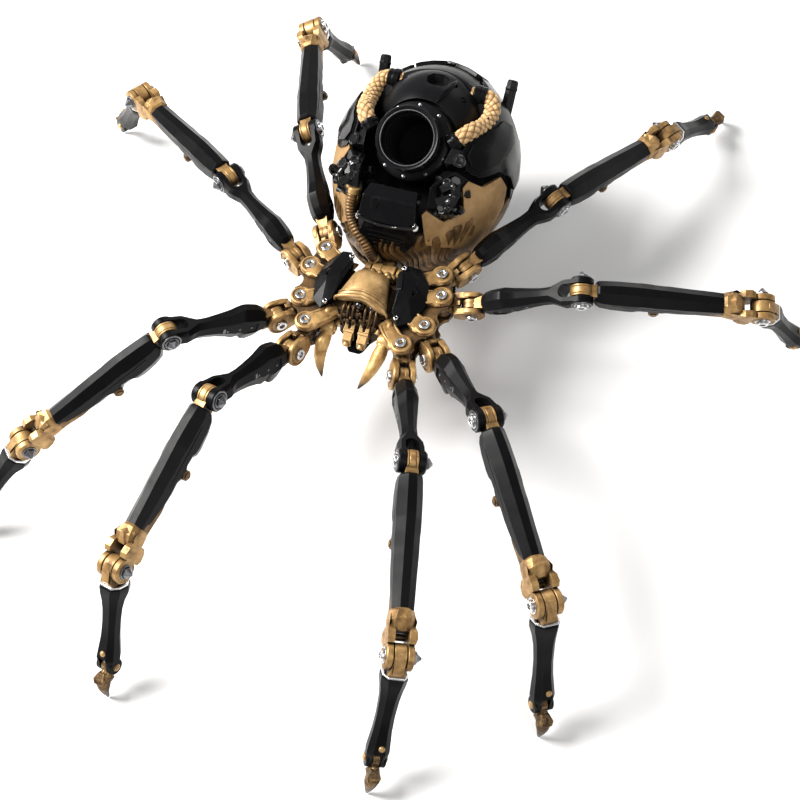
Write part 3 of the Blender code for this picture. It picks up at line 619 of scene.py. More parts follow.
LEG_FRAMES = {}
for leg in LEGS:
    pts = [joint_at(f"{k}_{leg}") for k in ("swivel", "lift", "knee", "ankle", "toe")]
    n = -Vector(JOINT[f"lift_{leg}"]["axis"]).normalized()
    flat = pts[1] - pts[0]
    tarsus = basis(pts[3], pts[4], n)
    claw = tarsus.copy()
    for i in range(3):
        claw[i][3] = pts[4][i] * MM
    up = Matrix.Identity(4)
    d = flat.normalized()
    y = Vector((0, 0, 1)).cross(d)
    for i in range(3):
        up[i][0], up[i][1], up[i][2], up[i][3] = d[i], y[i], (0, 0, 1)[i], pts[0][i] * MM
    LEG_FRAMES[leg] = {"upright": up, "coxa": basis(pts[0], pts[1], n), "femur": basis(pts[1], pts[2], n), "tibia": basis(pts[2], pts[3], n),
                       "tarsus": tarsus, "claw": claw}
LENGTH = {k: (joint_at(f"{b}_r1") - joint_at(f"{a}_r1")).length for k, a, b in
          (("coxa", "swivel", "lift"), ("femur", "lift", "knee"), ("tibia", "knee", "ankle"), ("tarsus", "ankle", "toe"))}


# ------------------------------------------------------------------ leg pieces, local frames in millimetres
def femur_body():
    L = LENGTH["femur"]
    body = loft([
        ring8(6.6, 7.2, 4.2, -4.2), ring8(8.2, 8.6, 6.4, -5.6), ring8(11.5, 9.5, 8.3, -7.6), ring8(15.0, 9.8, 9.1, -8.6),
        ring8(17.6, 9.7, 9.5, -8.1), ring8(19.2, 9.5, 9.3, -6.4), ring8(22.0, 9.0, 8.1, -6.9), ring8(25.0, 8.5, 7.1, -5.9),
        ring8(30.0, 7.4, 6.0, -5.0), ring8(35.0, 6.6, 5.1, -4.7), ring8(39.5, 6.9, 4.9, -4.6), ring8(42.5, 9.4, 4.9, -4.8, 0.6),
        ring8(45.5, 11.7, 4.9, -4.9, 0.78), ring8(L - 1.0, 11.7, 4.9, -4.9, 0.86)])
    eyes = turned([(4.6, -5.85), (5.1, -5.45), (5.1, 5.45), (4.6, 5.85)], (L, 0, 0), (0, 1, 0), 28)
    body = union(body, eyes)
    slot = union(turned([(3.0, -9), (3.0, 9)], (L - 6.1, 0, 0), (0, 0, 1), 20), block((L - 6.1, -2.95, -10), (L + 10, 2.95, 10)))
    body = cut(body, slot)
    # side recess and a long groove under the ridge strip
    for side in (-1, 1):
        body = cut(body, hull([(x, side * y, z) for y in (4.25, 7.0) for x, z in ((11.5, 2.6), (17.0, 3.6), (29.0, 1.7), (29.0, -1.6), (17.0, -3.4), (11.5, -2.6))]))
    return body


def femur_details(side_only=None):
    L = LENGTH["femur"]
    rims = []
    for side in (-1, 1):
        rims.append(turned_ring([(3.5, -0.2), (4.6, -0.2), (4.4, 0.42), (3.7, 0.42)], (L, side * 5.8, 0), (0, side, 0), 32))
    inlay = [hull([(x, side * y, z) for y in (3.0, 4.05) for x, z in ((12.4, 1.9), (17.0, 2.7), (28.0, 1.1), (28.0, -1.0), (17.0, -2.6), (12.4, -1.9))]) for side in (-1, 1)]
    studs = [rod((x, side * 3.6, z), (x, side * 4.45, z), 0.55, 12, edge=0.15) for side in (-1, 1) for x, z in ((14.2, 0), (20.0, 0), (26.0, 0))]
    return joined(*rims, *inlay, *studs)


def tibia_blade():
    rows = []
    for x, w, top, bottom in [(5.9, 8.6, 4.9, -4.2), (6.6, 9.6, 5.6, -5.4), (8.6, 10.3, 6.1, -7.9), (13.5, 10.8, 6.7, -9.5), (20.5, 11.0, 7.1, -10.2),
                              (23.6, 10.9, 7.1, -9.7), (25.4, 10.8, 7.0, -7.7), (29.6, 10.7, 6.8, -7.4), (31.4, 10.6, 6.7, -8.7), (35.6, 10.5, 6.5, -8.4),
                              (37.8, 10.4, 6.4, -6.9), (43.0, 10.2, 6.2, -7.3), (48.5, 9.9, 5.8, -6.7)]:
        rows.append(ring8(x, w, top, bottom))
    rows.append(ring8(57.5, 9.5, 5.3, -4.6, lean=0.35))
    rows.append(ring8(65.2, 9.0, 4.9, -3.4, lean=1.15))
    body = loft(rows)
    for side in (-1, 1):
        body = cut(body, hull([(x, side * y, z) for y in (5.05, 8.0) for x, z in ((13.0, 1.4), (13.0, 0.9), (50.0, 0.5), (50.0, 0.0))]))
    return body


def tibia_inner():
    """Gold shin under the black blade, with the boss and the knee neck."""
    shin = loft([ring8(45.0, 5.0, -3.0, -7.35), ring8(52.0, 8.2, 0.0, -6.9), ring8(58.0, 9.0, 2.6, -6.2), ring8(63.0, 9.4, 4.2, -5.9), ring8(67.0, 9.8, 4.6, -5.9)])
    boss = turned([(2.3, -4.9), (2.3, 4.9)], (33.4, 0, -6.7), (0, 1, 0), 24)
    boss2 = turned([(1.4, -5.5), (1.5, -5.3), (1.5, 5.3), (1.4, 5.5)], (33.4, 0, -6.9), (0, 1, 0), 20)
    return joined(shin, boss, boss2)


def knee_roller():
    drum = turned([(4.2, -2.6), (5.0, -2.35), (5.0, -1.75), (4.75, -1.6), (4.75, -1.35), (5.05, -1.2), (5.05, 1.2), (4.75, 1.35), (4.75, 1.6), (5.0, 1.75), (5.0, 2.35), (4.2, 2.6)],
                  (0, 0, 0), (0, 1, 0), 40)
    neck = hull([(1.5, y, z) for y in (-2.4, 2.4) for z in (-3.4, 3.3)] + [(7.4, y, z) for y in (-3.0, 3.0) for z in (-3.9, 4.0)])
    return joined(drum, neck)


def ankle_clevis():
    L = LENGTH["tibia"]
    head = loft([ring8(60.5, 7.0, 4.3, -5.2), ring8(62.5, 10.0, 6.1, -6.1, 0.5), ring8(66.4, 11.4, 6.9, -6.2, 0.62), ring8(68.4, 11.0, 5.6, -5.9, 0.6), ring8(70.2, 9.4, 3.8, -5.2, 0.6)])
    star = hull([(61.6, 0, 4.6), (64.8, 4.9, 5.4), (65.6, -4.9, 5.4), (70.6, 1.6, 4.4), (70.6, -1.6, 4.4), (65.8, 0.6, 8.1)])
    fins = [hull([(63.0, s * 4.6, 3.5), (66.0, s * 6.1, 1.2), (66.8, s * 5.6, 5.6), (70.8, s * 5.2, 2.2), (64.5, s * 5.2, -2.6)]) for s in (-1, 1)]
    prongs = []
    for s in (-1, 1):
        blockhead = hull([(x, s * y, z) for x, ys, zs in ((68.2, (3.1, 5.3), (-4.6, 3.9)), (70.6, (2.95, 6.1), (-5.3, 5.7)), (73.6, (2.95, 6.2), (-5.6, 6.0)), (75.6, (2.95, 5.7), (-5.0, 4.9)))
                          for y in ys for z in zs])
        eye = turned([(5.3, 0), (5.5, 0.3), (5.5, 2.35), (5.1, 2.75)], (L, s * 2.95, 0), (0, s, 0), 36)
        groove = turned_ring([(4.15, 2.55), (4.65, 2.55), (4.65, 3.2), (4.15, 3.2)], (L, s * 2.95, 0), (0, s, 0), 36)
        prongs += [cut(eye, groove), blockhead]
    crossbar = rod((71.8, -3.6, -3.6), (71.8, 3.6, -3.6), 1.5, 16)
    return joined(head, star, *fins, *prongs, crossbar)


def ankle_roller():
    drum = turned([(4.3, -2.75), (5.35, -2.45), (5.35, 2.45), (4.3, 2.75)], (0, 0, 0), (0, 1, 0), 40)
    saddle = hull([(x, y, z) for x, w, zs in ((1.6, 2.5, (-4.6, 4.9)), (5.4, 2.7, (-4.9, 5.3)), (7.2, 3.9, (-4.4, 4.7))) for y in (-w, w) for z in zs])
    pad = hull([(x, y, z) for x, w, z in ((-3.6, 1.6, 4.4), (0.0, 2.2, 5.75), (4.6, 2.2, 6.1), (6.4, 1.5, 4.9)) for y in (-w, w)] + [(-3.0, 0, 3.0), (6, 0, 3)])
    return joined(drum, saddle, pad)


def tarsus_shank():
    T = LENGTH["tarsus"]
    body = loft([
        ring8(7.0, 10.2, 5.2, -6.0, 0.6), ring8(8.4, 11.0, 5.7, -7.2, 0.55), ring8(11.2, 10.6, 5.5, -7.6, 0.5), ring8(14.5, 9.2, 4.8, -5.6, 0.48),
        ring8(19.0, 8.1, 4.2, -4.3, 0.48), ring8(26.0, 7.5, 3.9, -3.9, 0.48), ring8(33.0, 7.8, 4.1, -4.1, 0.48), ring8(38.5, 8.8, 4.8, -4.6, 0.5),
        ring8(42.5, 9.4, 5.3, -4.9, 0.55), ring8(45.0, 8.8, 4.4, -4.4, 0.6), ring8(T + 0.2, 8.3, 3.6, -3.6, 0.7)])
    eye = turned([(3.3, -4.2), (3.7, -3.9), (3.7, 3.9), (3.3, 4.2)], (T, 0, 0), (0, 1, 0), 24)
    body = union(body, eye)
    body = cut(body, block((T - 4.6, -1.95, -9), (T + 9, 1.95, 9)))
    return body


def tarsus_trim():
    """Steel collar at the top of the shank."""
    collar = loft([ring8(6.5, 9.4, 4.9, -5.4, 0.6), ring8(6.9, 10.6, 5.5, -6.3, 0.6), ring8(7.5, 10.7, 5.6, -6.5, 0.6), ring8(7.7, 9.6, 4.9, -5.6, 0.6)])
    return collar


def toe_studs():
    T = LENGTH["tarsus"]
    top = turned([(1.35, -0.6), (1.45, 0.0), (1.3, 0.45), (0.8, 0.85), (0.1, 1.0)], (39.8, 0.7, 4.9), (-0.1, 0.05, 1), 20)
    pins = [turned([(1.7, -0.3), (1.8, 0.1), (1.55, 0.75), (0.9, 1.05), (0.1, 1.15)], (T, s * 4.1, 0), (0, s, 0), 22) for s in (-1, 1)]
    return joined(top, *pins)


def claw_talon():
    reach = 17.5
    n = 14
    rings = []
    tips = []
    for k in range(13):
        t = k / 12
        x = 1.2 + (reach - 1.2) * t
        z = 3.0 * math.sin(math.pi * min(t * 1.05, 1)) - 0.6 * t
        w = 1.5 + 1.25 * math.sin(math.pi * min(1, t * 2.2) * 0.5) if t < 0.45 else 2.75 * (1 - (t - 0.45) / 0.55) ** 0.72 + 0.18
        h = 2.5 + 1.15 * math.sin(math.pi * min(1, t * 2.6) * 0.5) if t < 0.38 else 3.65 * (1 - (t - 0.38) / 0.62) ** 0.78 + 0.2
        if t < 0.2:
            w = min(w, 1.55 + 6.5 * t)
        ring = []
        for i in range(n):
            a = 2 * math.pi * i / n
            keel = 1.0 + 0.13 * math.cos(2 * a) + (0.10 if i == n // 4 else 0.0)
            ring.append((x, w * math.cos(a) * keel, z + h * math.sin(a)))
        rings.append(ring)
        tips.append(t)
    talon = loft(rings)
    root = turned([(3.0, -1.6), (3.5, -1.35), (3.5, 1.35), (3.0, 1.6)], (0, 0, 0), (0, 1, 0), 24)
    knob = hull([(x, y, z) for x, w, zs in ((3.0, 1.6, (0.5, 4.6)), (5.8, 2.9, (-1.0, 6.2)), (8.0, 2.2, (0.0, 6.4))) for y in (-w, w) for z in zs])
    return joined(talon, root, knob)


def coxa_bracket():
    c = LENGTH["coxa"]
    arm = loft([ring8(2.0, 6.0, 2.9, -2.9, 0.6), ring8(4.4, 6.8, 2.6, -2.6, 0.6), ring8(c - 7.6, 9.8, 3.6, -3.6, 0.6), ring8(c - 5.4, 10.4, 3.4, -3.4, 0.6)])
    parts = [arm]
    for s in (-1, 1):
        ear = turned([(5.3, 0), (6.0, 0.35), (6.0, 2.0), (5.5, 2.55)], (c, s * 2.5, 0), (0, s, 0), 36)
        groove = turned_ring([(4.3, 2.2), (4.85, 2.2), (4.85, 3.0), (4.3, 3.0)], (c, s * 2.5, 0), (0, s, 0), 36)
        cheek = hull([(x, s * y, z) for x, ys, zs in ((c - 8.0, (1.6, 4.9), (-2.8, 2.8)), (c - 5.6, (2.5, 5.05), (-4.2, 4.2)), (c - 1.0, (2.5, 5.0), (-5.5, 5.5))) for y in ys for z in zs])
        parts += [cut(ear, groove), cheek]
    rib = hull([(x, y, z) for x, w, z in ((1.6, 1.2, 2.6), (c - 5.0, 1.0, 5.0), (c - 4.6, 1.0, 2.0), (2.0, 1.2, 1.0)) for y in (-w, w)])
    return joined(*parts, rib)


def coxa_knuckle():
    drum = turned([(3.4, -3.4), (4.2, -3.05), (4.2, -1.1), (3.8, -0.9), (3.8, 0.9), (4.2, 1.1), (4.2, 3.05), (3.4, 3.4)], (0, 0, 0), (0, 0, 1), 32)
    return drum


def hip_roller():
    drum = turned([(3.9, -2.2), (4.7, -1.9), (4.7, -0.5), (4.45, -0.35), (4.45, 0.35), (4.7, 0.5), (4.7, 1.9), (3.9, 2.2)], (0, 0, 0), (0, 1, 0), 36)
    neck = hull([(x, y, z) for x, w, zs in ((2.4, 2.1, (-3.5, 3.5)), (7.6, 2.9, (-4.2, 4.2))) for y in (-w, w) for z in zs])
    return joined(drum, neck)


Lf, Lt, Lc = LENGTH["femur"], LENGTH["tibia"], LENGTH["coxa"]
SHAPES = {
    "femur_body": as_mesh(femur_body(), LEG_BLACK, 0.42, 3, 24),
    "femur_detail": as_mesh(femur_details(), DARK_STEEL, 0.12, 2, 30),
    "femur_hip_roller": as_mesh(hip_roller(), GOLD, 0.22, 2, 30),
    "femur_screw": as_mesh(joined(cap_screw(Lf, -5.9, 0, -1, 2.55, 1.7), turned_ring([(2.4, -0.3), (3.3, -0.3), (3.3, 0.25), (2.4, 0.25)], (Lf, -6.05, 0), (0, -1, 0), 28)), STEEL, 0.1, 2, 40),
    "femur_nut": as_mesh(dome_nut(Lf, 5.9, 0, 1, 2.7, 3.3), DARK_STEEL, 0.16, 2, 30),
    "tibia_blade": as_mesh(tibia_blade(), LEG_BLACK, 0.42, 3, 20),
    "tibia_shin": as_mesh(tibia_inner(), BRONZE, 0.3, 2, 26),
    "tibia_knee_roller": as_mesh(knee_roller(), GOLD, 0.14, 2, 34),
    "tibia_clevis": as_mesh(ankle_clevis(), GOLD, 0.26, 2, 26),
    "tibia_screw": as_mesh(joined(cap_screw(Lt, -5.7, 0, -1, 2.6, 1.8), turned_ring([(2.5, -0.3), (3.4, -0.3), (3.4, 0.3), (2.5, 0.3)], (Lt, -5.75, 0), (0, -1, 0), 28)), STEEL, 0.1, 2, 40),
    "tibia_nut": as_mesh(dome_nut(Lt, 5.6, 0, 1, 2.8, 3.8), DARK_STEEL, 0.16, 2, 30),
    "tarsus_roller": as_mesh(ankle_roller(), GOLD, 0.24, 2, 30),
    "tarsus_shank": as_mesh(tarsus_shank(), LEG_BLACK, 0.5, 3, 20),
    "tarsus_collar": as_mesh(tarsus_trim(), STEEL, 0.12, 2, 30),
    "tarsus_studs": as_mesh(toe_studs(), GOLD_PALE, 0.1, 2, 40),
    "coxa_bracket": as_mesh(coxa_bracket(), GOLD, 0.28, 2, 26),
    "coxa_screws": as_mesh(joined(cap_screw(Lc, -5.0, 0, -1, 2.7, 1.7), cap_screw(Lc, 5.0, 0, 1, 2.5, 1.3)), STEEL, 0.1, 2, 40),
    "coxa_knuckle": as_mesh(coxa_knuckle(), BRONZE, 0.15, 2, 30),
}


def with_tip(me, axis_index, start, end):
    """Stores how far along each point lies, for materials that darken to the tip."""
    attribute = me.attributes.new("tip", "FLOAT", "POINT")
    values = []
    for v in me.vertices:
        values.append(min(1.0, max(0.0, (v.co[axis_index] / MM - start) / (end - start))))
    attribute.data.foreach_set("value", values)
    return me


SHAPES["claw"] = with_tip(as_mesh(claw_talon(), TALON, 0.18, 2, 34), 0, 2.0, 17.5)

for leg in LEGS:
    f = LEG_FRAMES[leg]
    put(f"coxa_bracket_{leg}", SHAPES["coxa_bracket"], f"coxa_{leg}", f["coxa"], [f"coxa_{leg}"])
    put(f"coxa_knuckle_{leg}", SHAPES["coxa_knuckle"], f"coxa_{leg}", f["upright"])
    put(f"coxa_screws_{leg}", SHAPES["coxa_screws"], f"coxa_{leg}", f["coxa"])
    put(f"femur_body_{leg}", SHAPES["femur_body"], f"femur_{leg}", f["femur"], [f"femur_{leg}"])
    put(f"femur_detail_{leg}", SHAPES["femur_detail"], f"femur_{leg}", f["femur"])
    put(f"femur_hip_roller_{leg}", SHAPES["femur_hip_roller"], f"femur_{leg}", f["femur"])
    put(f"knee_screw_{leg}", SHAPES["femur_screw"], f"femur_{leg}", f["femur"])
    put(f"knee_nut_{leg}", SHAPES["femur_nut"], f"femur_{leg}", f["femur"])
    put(f"tibia_blade_{leg}", SHAPES["tibia_blade"], f"tibia_{leg}", f["tibia"], [f"tibia_{leg}"])
    put(f"tibia_shin_{leg}", SHAPES["tibia_shin"], f"tibia_{leg}", f["tibia"])
    put(f"knee_roller_{leg}", SHAPES["tibia_knee_roller"], f"tibia_{leg}", f["tibia"])
    put(f"ankle_clevis_{leg}", SHAPES["tibia_clevis"], f"tibia_{leg}", f["tibia"])
    put(f"ankle_screw_{leg}", SHAPES["tibia_screw"], f"tibia_{leg}", f["tibia"])
    put(f"ankle_nut_{leg}", SHAPES["tibia_nut"], f"tibia_{leg}", f["tibia"])
    put(f"ankle_roller_{leg}", SHAPES["tarsus_roller"], f"tarsus_{leg}", f["tarsus"])
    put(f"tarsus_shank_{leg}", SHAPES["tarsus_shank"], f"tarsus_{leg}", f["tarsus"], [f"tarsus_{leg}"])
    put(f"tarsus_collar_{leg}", SHAPES["tarsus_collar"], f"tarsus_{leg}", f["tarsus"])
    put(f"toe_studs_{leg}", SHAPES["tarsus_studs"], f"tarsus_{leg}", f["tarsus"])
    put(f"claw_talon_{leg}", SHAPES["claw"], f"claw_{leg}", f["claw"], [f"claw_{leg}"])

# ------------------------------------------------------------------ thorax
HIPZ = 53.98
TOP0 = HIPZ + 3.7
SWIVELS = {leg: joint_at(f"swivel_{leg}") - SHIFT for leg in LEGS}


def both(outline):
    return outline + [(-x, y) for x, y in reversed(outline)]


PLATE = both([(-12.0, -8.6), (-18.0, -13.2), (-18.8, -22.4), (-24.0, -24.2), (-27.4, -21.0), (-33.4, -8.5), (-35.6, 10.5), (-32.0, 24.2), (-26.0, 25.4), (-20.5, 19.0), (-10.0, 12.0)])


def plate(z0, z1, inset=0.0):
    cx, cy = 0.0, 1.0
    ring = []
    for x, y in PLATE:
        d = Vector((x - cx, y - cy))
        k = (d.length - inset) / d.length
        ring.append((cx + d.x * k, cy + d.y * k))
    return loft([[(x, y, z0) for x, y in ring], [(x, y, z1) for x, y in ring]])


def thorax_plate(z0, z1, up):
    body = plate(z0, z1)
    # scalloped bites between neighbouring hips, so that the edge reads as lobes
    for s in (-1, 1):
        for (x, y, r) in ((31.5, -17.0, 4.0), (36.5, 1.0, 4.6), (35.5, 17.5, 3.6), (17.0, -25.0, 3.2), (24.5, 25.5, 2.6)):
            body = cut(body, turned([(r, z0 - 2), (r, z1 + 2)], (s * x, y, 0), (0, 0, 1), 24))
        for (x, y, r) in ((20.5, -3.2, 2.6), (24.4, 2.2, 2.0), (19.0, 9.5, 2.4)):
            body = cut(body, turned([(r, z0 - 2), (r, z1 + 2)], (s * x, y, 0), (0, 0, 1), 24))
    return body


def lobes():
    """Moulded arms that run from the middle of the thorax out over each hip."""
    parts = []
    for leg, p in SWIVELS.items():
        s = 1 if p.x > 0 else -1
        y0 = {"1": -9.0, "2": -1.0, "3": 7.0, "4": 13.0}[leg[1]]
        x0 = {"1": 12.0, "2": 17.0, "3": 17.0, "4": 13.0}[leg[1]]
        start = Vector((s * x0, y0, 59.4))
        end = Vector((p.x, p.y, 60.3))
        d = (end - start).normalized()
        side = d.cross(Vector((0, 0, 1))).normalized()
        rings = []
        for k in range(15):
            t = k / 14
            c = start.lerp(end, t) + side * (1.5 * s * math.sin(math.pi * t))
            w = 4.6 - 2.6 * math.sin(math.pi * min(1.0, t * 1.15)) * 0.55 + 0.5 * t
            h = 1.2 + 1.1 * math.sin(math.pi * t * 0.9) + 0.2 * t
            c.z = 59.3 + 0.9 * t
            ring = []
            for i in range(16):
                a = 2 * math.pi * i / 16
                ca, sa = math.cos(a), math.sin(a)
                ring.append(c + side * (w * abs(ca) ** 0.8 * (1 if ca > 0 else -1)) + Vector((0, 0, h * abs(sa) ** 0.8 * (1 if sa > 0 else -1))))
            rings.append(ring)
        parts.append(loft(rings))
        for off in (-1, 1):
            path = [start.lerp(end, t) + side * (1.5 * s * math.sin(math.pi * t) + off * 3.1) + Vector((0, 0, 1.1 + 0.5 * math.sin(math.pi * t))) for t in (0.12, 0.35, 0.6, 0.85)]
            parts.append(sweep(path, lambda t: 0.75 * (0.5 + 0.5 * math.sin(math.pi * t)), 10, 20))
        parts.append(turned([(4.2, -2.0), (4.9, -1.4), (4.9, -0.2), (4.5, 0.1), (4.5, 0.5), (4.8, 0.8), (4.6, 1.3), (3.7, 1.6), (3.5, 1.1), (2.6, 1.0)], (p.x, p.y, 60.4), (0, 0, 1), 32))
        parts.append(turned([(4.2, 0.0), (4.6, 0.4), (4.6, 1.6), (4.0, 2.1), (2.4, 2.3)], (p.x, p.y, HIPZ - 3.7 - 1.2), (0, 0, -1), 28))
    return joined(*parts)


def thorax_bolts():
    parts = []
    for leg, p in SWIVELS.items():
        m = Matrix.Translation((p.x, p.y, 61.0)) @ Matrix.Rotation(math.radians(90), 4, "X")
        parts.append(moved(cap_screw(0, 0, 0, 1, 2.4, 1.5), m))
        m = Matrix.Translation((p.x, p.y, HIPZ - 6.6)) @ Matrix.Rotation(math.radians(-90), 4, "X")
        parts.append(moved(cap_screw(0, 0, 0, 1, 2.2, 1.2), m))
    return joined(*parts)


def thorax_core():
    """Machinery between the plates: a ribbed core with pipes."""
    parts = [hull([(sx * x, y, z) for sx in (-1, 1) for x, y, z in
                   [(11, -8.0, HIPZ - 4.2), (11, -8.0, HIPZ + 4.2), (16.4, -2, HIPZ - 4.2), (16.4, -2, HIPZ + 4.2), (14.6, 10.5, HIPZ - 4.2), (14.6, 10.5, HIPZ + 4.2)]])]
    for s in (-1, 1):
        for k in range(5):
            y = -5.5 + 3.6 * k
            parts.append(hull([(s * x, y + dy, z) for x, dy in ((14.0, -0.8), (17.6, -0.5), (17.6, 0.5), (14.0, 0.8)) for z in (HIPZ - 3.3, HIPZ + 3.3)]))
        parts.append(sweep([(s * 12, -9.0, 56.5), (s * 17.5, -6.0, 57.0), (s * 19.0, 2.0, 56.6), (s * 17.0, 11.5, 56.8)], 0.9, 10, 30))
        parts.append(sweep([(s * 12, -9.0, 51.5), (s * 17.0, -5.0, 51.0), (s * 18.4, 3.0, 51.2), (s * 16.0, 11.5, 51.0)], 1.1, 10, 30))
    return joined(*parts)


def belly():
    body = hull([(sx * x, y, z) for sx in (-1, 1) for x, y, z in
                 [(11, -7.6, 49.4), (17, 2, 49.4), (9, 10.5, 49.4), (8, -5, 42.0), (11, 4, 42.0), (6, 7, 42.0)]])
    parts = [body]
    for s in (-1, 1):
        parts.append(hull([(s * x, y, z) for x, y, z in [(9.0, -6.0, 48.8), (16.5, 1.5, 48.8), (14.0, 4.5, 48.8), (12.6, 3.4, 44.0), (9.6, -4.0, 44.0), (14.4, 1.4, 45.4)]]))
        for k in range(3):
            parts.append(rod((s * (4.5 + 2.6 * k), 8.3 - 1.0 * k, 47.2), (s * (4.5 + 2.6 * k), 10.6 - 0.7 * k, 47.2), 0.8, 14))
    return joined(*parts)


def tail_piece():
    parts = [hull([(sx * 5.5, y, z) for sx in (-1, 1) for y, z in [(9, 49.0), (9, 59.0), (14.6, 49.6), (14.6, 57.6)]]),
             hull([(sx * 8.4, y, z) for sx in (-1, 1) for y, z in [(9, 50.4), (9, 56.6), (14.4, 50.4), (14.4, 56.6)]])]
    for x in (-7.3, 7.3):
        parts.append(rod((x - 1.25, 19.4, 53.5), (x + 1.25, 19.4, 53.5), 3.7, 28))
        parts.append(hull([(x + dx, y, z) for dx in (-1.15, 1.15) for y, z in ((12.0, 50.2), (12.0, 56.8), (19.4, 50.0), (19.4, 57.0))]))
        parts.append(moved(cap_screw(0, 0, 0, 1 if x > 0 else -1, 2.0, 1.1), Matrix.Translation((x + (1.2 if x > 0 else -1.2), 19.4, 53.5)) @ Matrix.Rotation(math.radians(-90), 4, "Z")))
    return joined(*parts)


put("thorax_top_plate", as_mesh(thorax_plate(TOP0, TOP0 + 1.9, True), BRONZE, 0.35, 2, 30), "thorax", None, ["thorax_frame"])
put("thorax_bottom_plate", as_mesh(thorax_plate(HIPZ - 5.6, HIPZ - 3.7, False), BRONZE, 0.35, 2, 30), "thorax")
put("thorax_lobes", as_mesh(lobes(), GOLD, 0.15, 2, 40), "thorax")
put("thorax_bolts", as_mesh(thorax_bolts(), STEEL, 0.1, 2, 40), "thorax")
put("thorax_core", as_mesh(thorax_core(), DARK_BRONZE, 0.25, 2, 30), "thorax")
put("thorax_belly", as_mesh(belly(), BRONZE, 0.35, 2, 26), "thorax")
put("thorax_tail", as_mesh(tail_piece(), GOLD, 0.25, 2, 30), "thorax")


def shoulder(side):
    top_z = TOP0 + 2.25
    pts = []
    for x, y, z in [(13.6, 4.0, 66.4), (10.8, 12.0, 66.8), (13.5, 17.5, 65.6), (14.0, -7.0, 63.8), (18.0, -12.5, 61.8), (23.5, -8.0, 61.0), (26.5, 4.0, 60.6),
                    (24.5, 12.5, 61.0), (18.5, 18.5, 63.4), (19.5, 0.0, 65.4), (20.5, 8.0, 65.6)]:
        pts += [(side * x, y, z + 1.0), (side * x, y, max(z - 2.6, top_z))]
    body = hull(pts)
    lip = hull([(side * x, y, z) for x, y, z in ((12.2, 3.0, 67.0), (10.4, 11.6, 67.6), (12.6, 12.6, 68.1), (14.9, 3.4, 67.9), (12.6, 8.0, 64.0), (15.4, 6.0, 66.0))])
    scar = hull([(side * x, y, z) for x, y, z in ((19.0, 1.5, 67.4), (19.6, 7.2, 67.3), (21.6, 6.0, 66.6), (21.4, 2.2, 66.6), (20.4, 4.2, 64.6))])
    return cut(joined(body), scar), lip


for name, side in (("right", -1), ("left", 1)):
    body, lip = shoulder(side)
    put(f"shoulder_shell_{name}", as_mesh(body, GLOSS_BLACK, 0.8, 4, 14), "thorax", None, [f"shoulder_plate_{name}"])
    put(f"shoulder_lip_{name}", as_mesh(lip, GLOSS_BLACK, 0.4, 3, 20), "thorax")
    bolts = joined(*[moved(cap_screw(0, 0, 0, 1, 1.2, 0.9), Matrix.Translation((side * x, y, z)) @ Matrix.Rotation(math.radians(90), 4, "X"))
                     for x, y, z in ((12.4, 14.6, 67.6), (16.6, -9.4, 63.9))])
    put(f"shoulder_bolts_{name}", as_mesh(bolts, STEEL, 0.06, 2, 40), "thorax")


# ------------------------------------------------------------------ head
def head_core():
    Z0 = TOP0 + 2.25
    parts = [hull([(sx * x, y, z) for sx in (-1, 1) for x, y, z in [(8.6, 8.0, Z0), (7.4, 7.0, 64.8), (8.6, -3.0, 64.4), (8.6, -6.4, 62.0), (9.2, -8.0, Z0)]]),
             hull([(sx * x, y, z) for sx in (-1, 1) for x, y, z in [(9.0, -9.0, 59.6), (9.2, -9.4, 49.0), (8.4, -13.6, 59.0), (8.8, -15.0, 52.0), (4.5, -16.2, 47.4), (4.5, -11.0, 45.6)]])]
    rnd = random.Random(11)
    for k in range(16):
        x = rnd.uniform(-8.0, 8.0)
        y = rnd.uniform(-14.0, -8.0)
        z = 60.2 + (y + 14) * 0.42
        r = rnd.uniform(0.6, 1.3)
        tilt = Vector((rnd.uniform(-0.5, 0.5), -0.8, 0.9)).normalized()
        p = Vector((x, y, z))
        parts.append(rod(p - tilt * 1.6, p + tilt * rnd.uniform(0.9, 2.0), r, 14 if k % 2 else 6, r * 0.85, 0.2))
    for s in (-1, 1):
        for k in range(3):
            x = s * (2.6 + 2.3 * k)
            parts.append(sweep([(x, -6.5, 64.0), (x * 1.06, -9.8, 64.6 - 0.5 * k), (x * 1.05, -13.0, 61.2 - 0.4 * k), (x * 0.9, -14.6, 57.0)], 0.62, 10, 24))
    return joined(*parts)


def gun(c):
    top, bot = Vector((c, -12.0, 58.6)), Vector((c, -21.6, 53.4))
    d = (bot - top).normalized()
    body = hull([(c + dx, y, z) for dx in (-2.3, 2.3) for y, z in [(-11.6, 55.4), (-11.2, 60.2), (-17.6, 52.4), (-16.4, 57.4)]])
    nose = hull([(c + dx, y, z) for dx in (-2.0, 2.0) for y, z in [(-17.4, 52.6), (-16.6, 57.0), (-21.6, 51.8), (-20.8, 55.0)]])
    slot = moved(union(rod((0, 0, -1.3), (0, 0, 2), 0.7, 16, edge=0.0), rod((0, 2.0, -1.3), (0, 2.0, 2), 0.7, 16, edge=0.0), block((-0.7, 0, -1.3), (0.7, 2.0, 2))),
                 Matrix.Translation((c, -15.6, 57.9)) @ Matrix.Rotation(math.radians(28), 4, "X"))
    body = cut(body, slot)
    band = hull([(c + dx, y, z) for dx in (-2.45, 2.45) for y, z in [(-17.3, 52.3), (-16.5, 57.5), (-18.3, 52.0), (-17.6, 57.0)]])
    muzzle = turned([(1.3, 0), (1.5, 0.3), (1.5, 1.6), (1.2, 1.9), (0.8, 1.9), (0.75, 0.4)], (c, -20.6, 53.2), (0, -0.93, -0.36), 20)
    return joined(body, nose, band, muzzle)


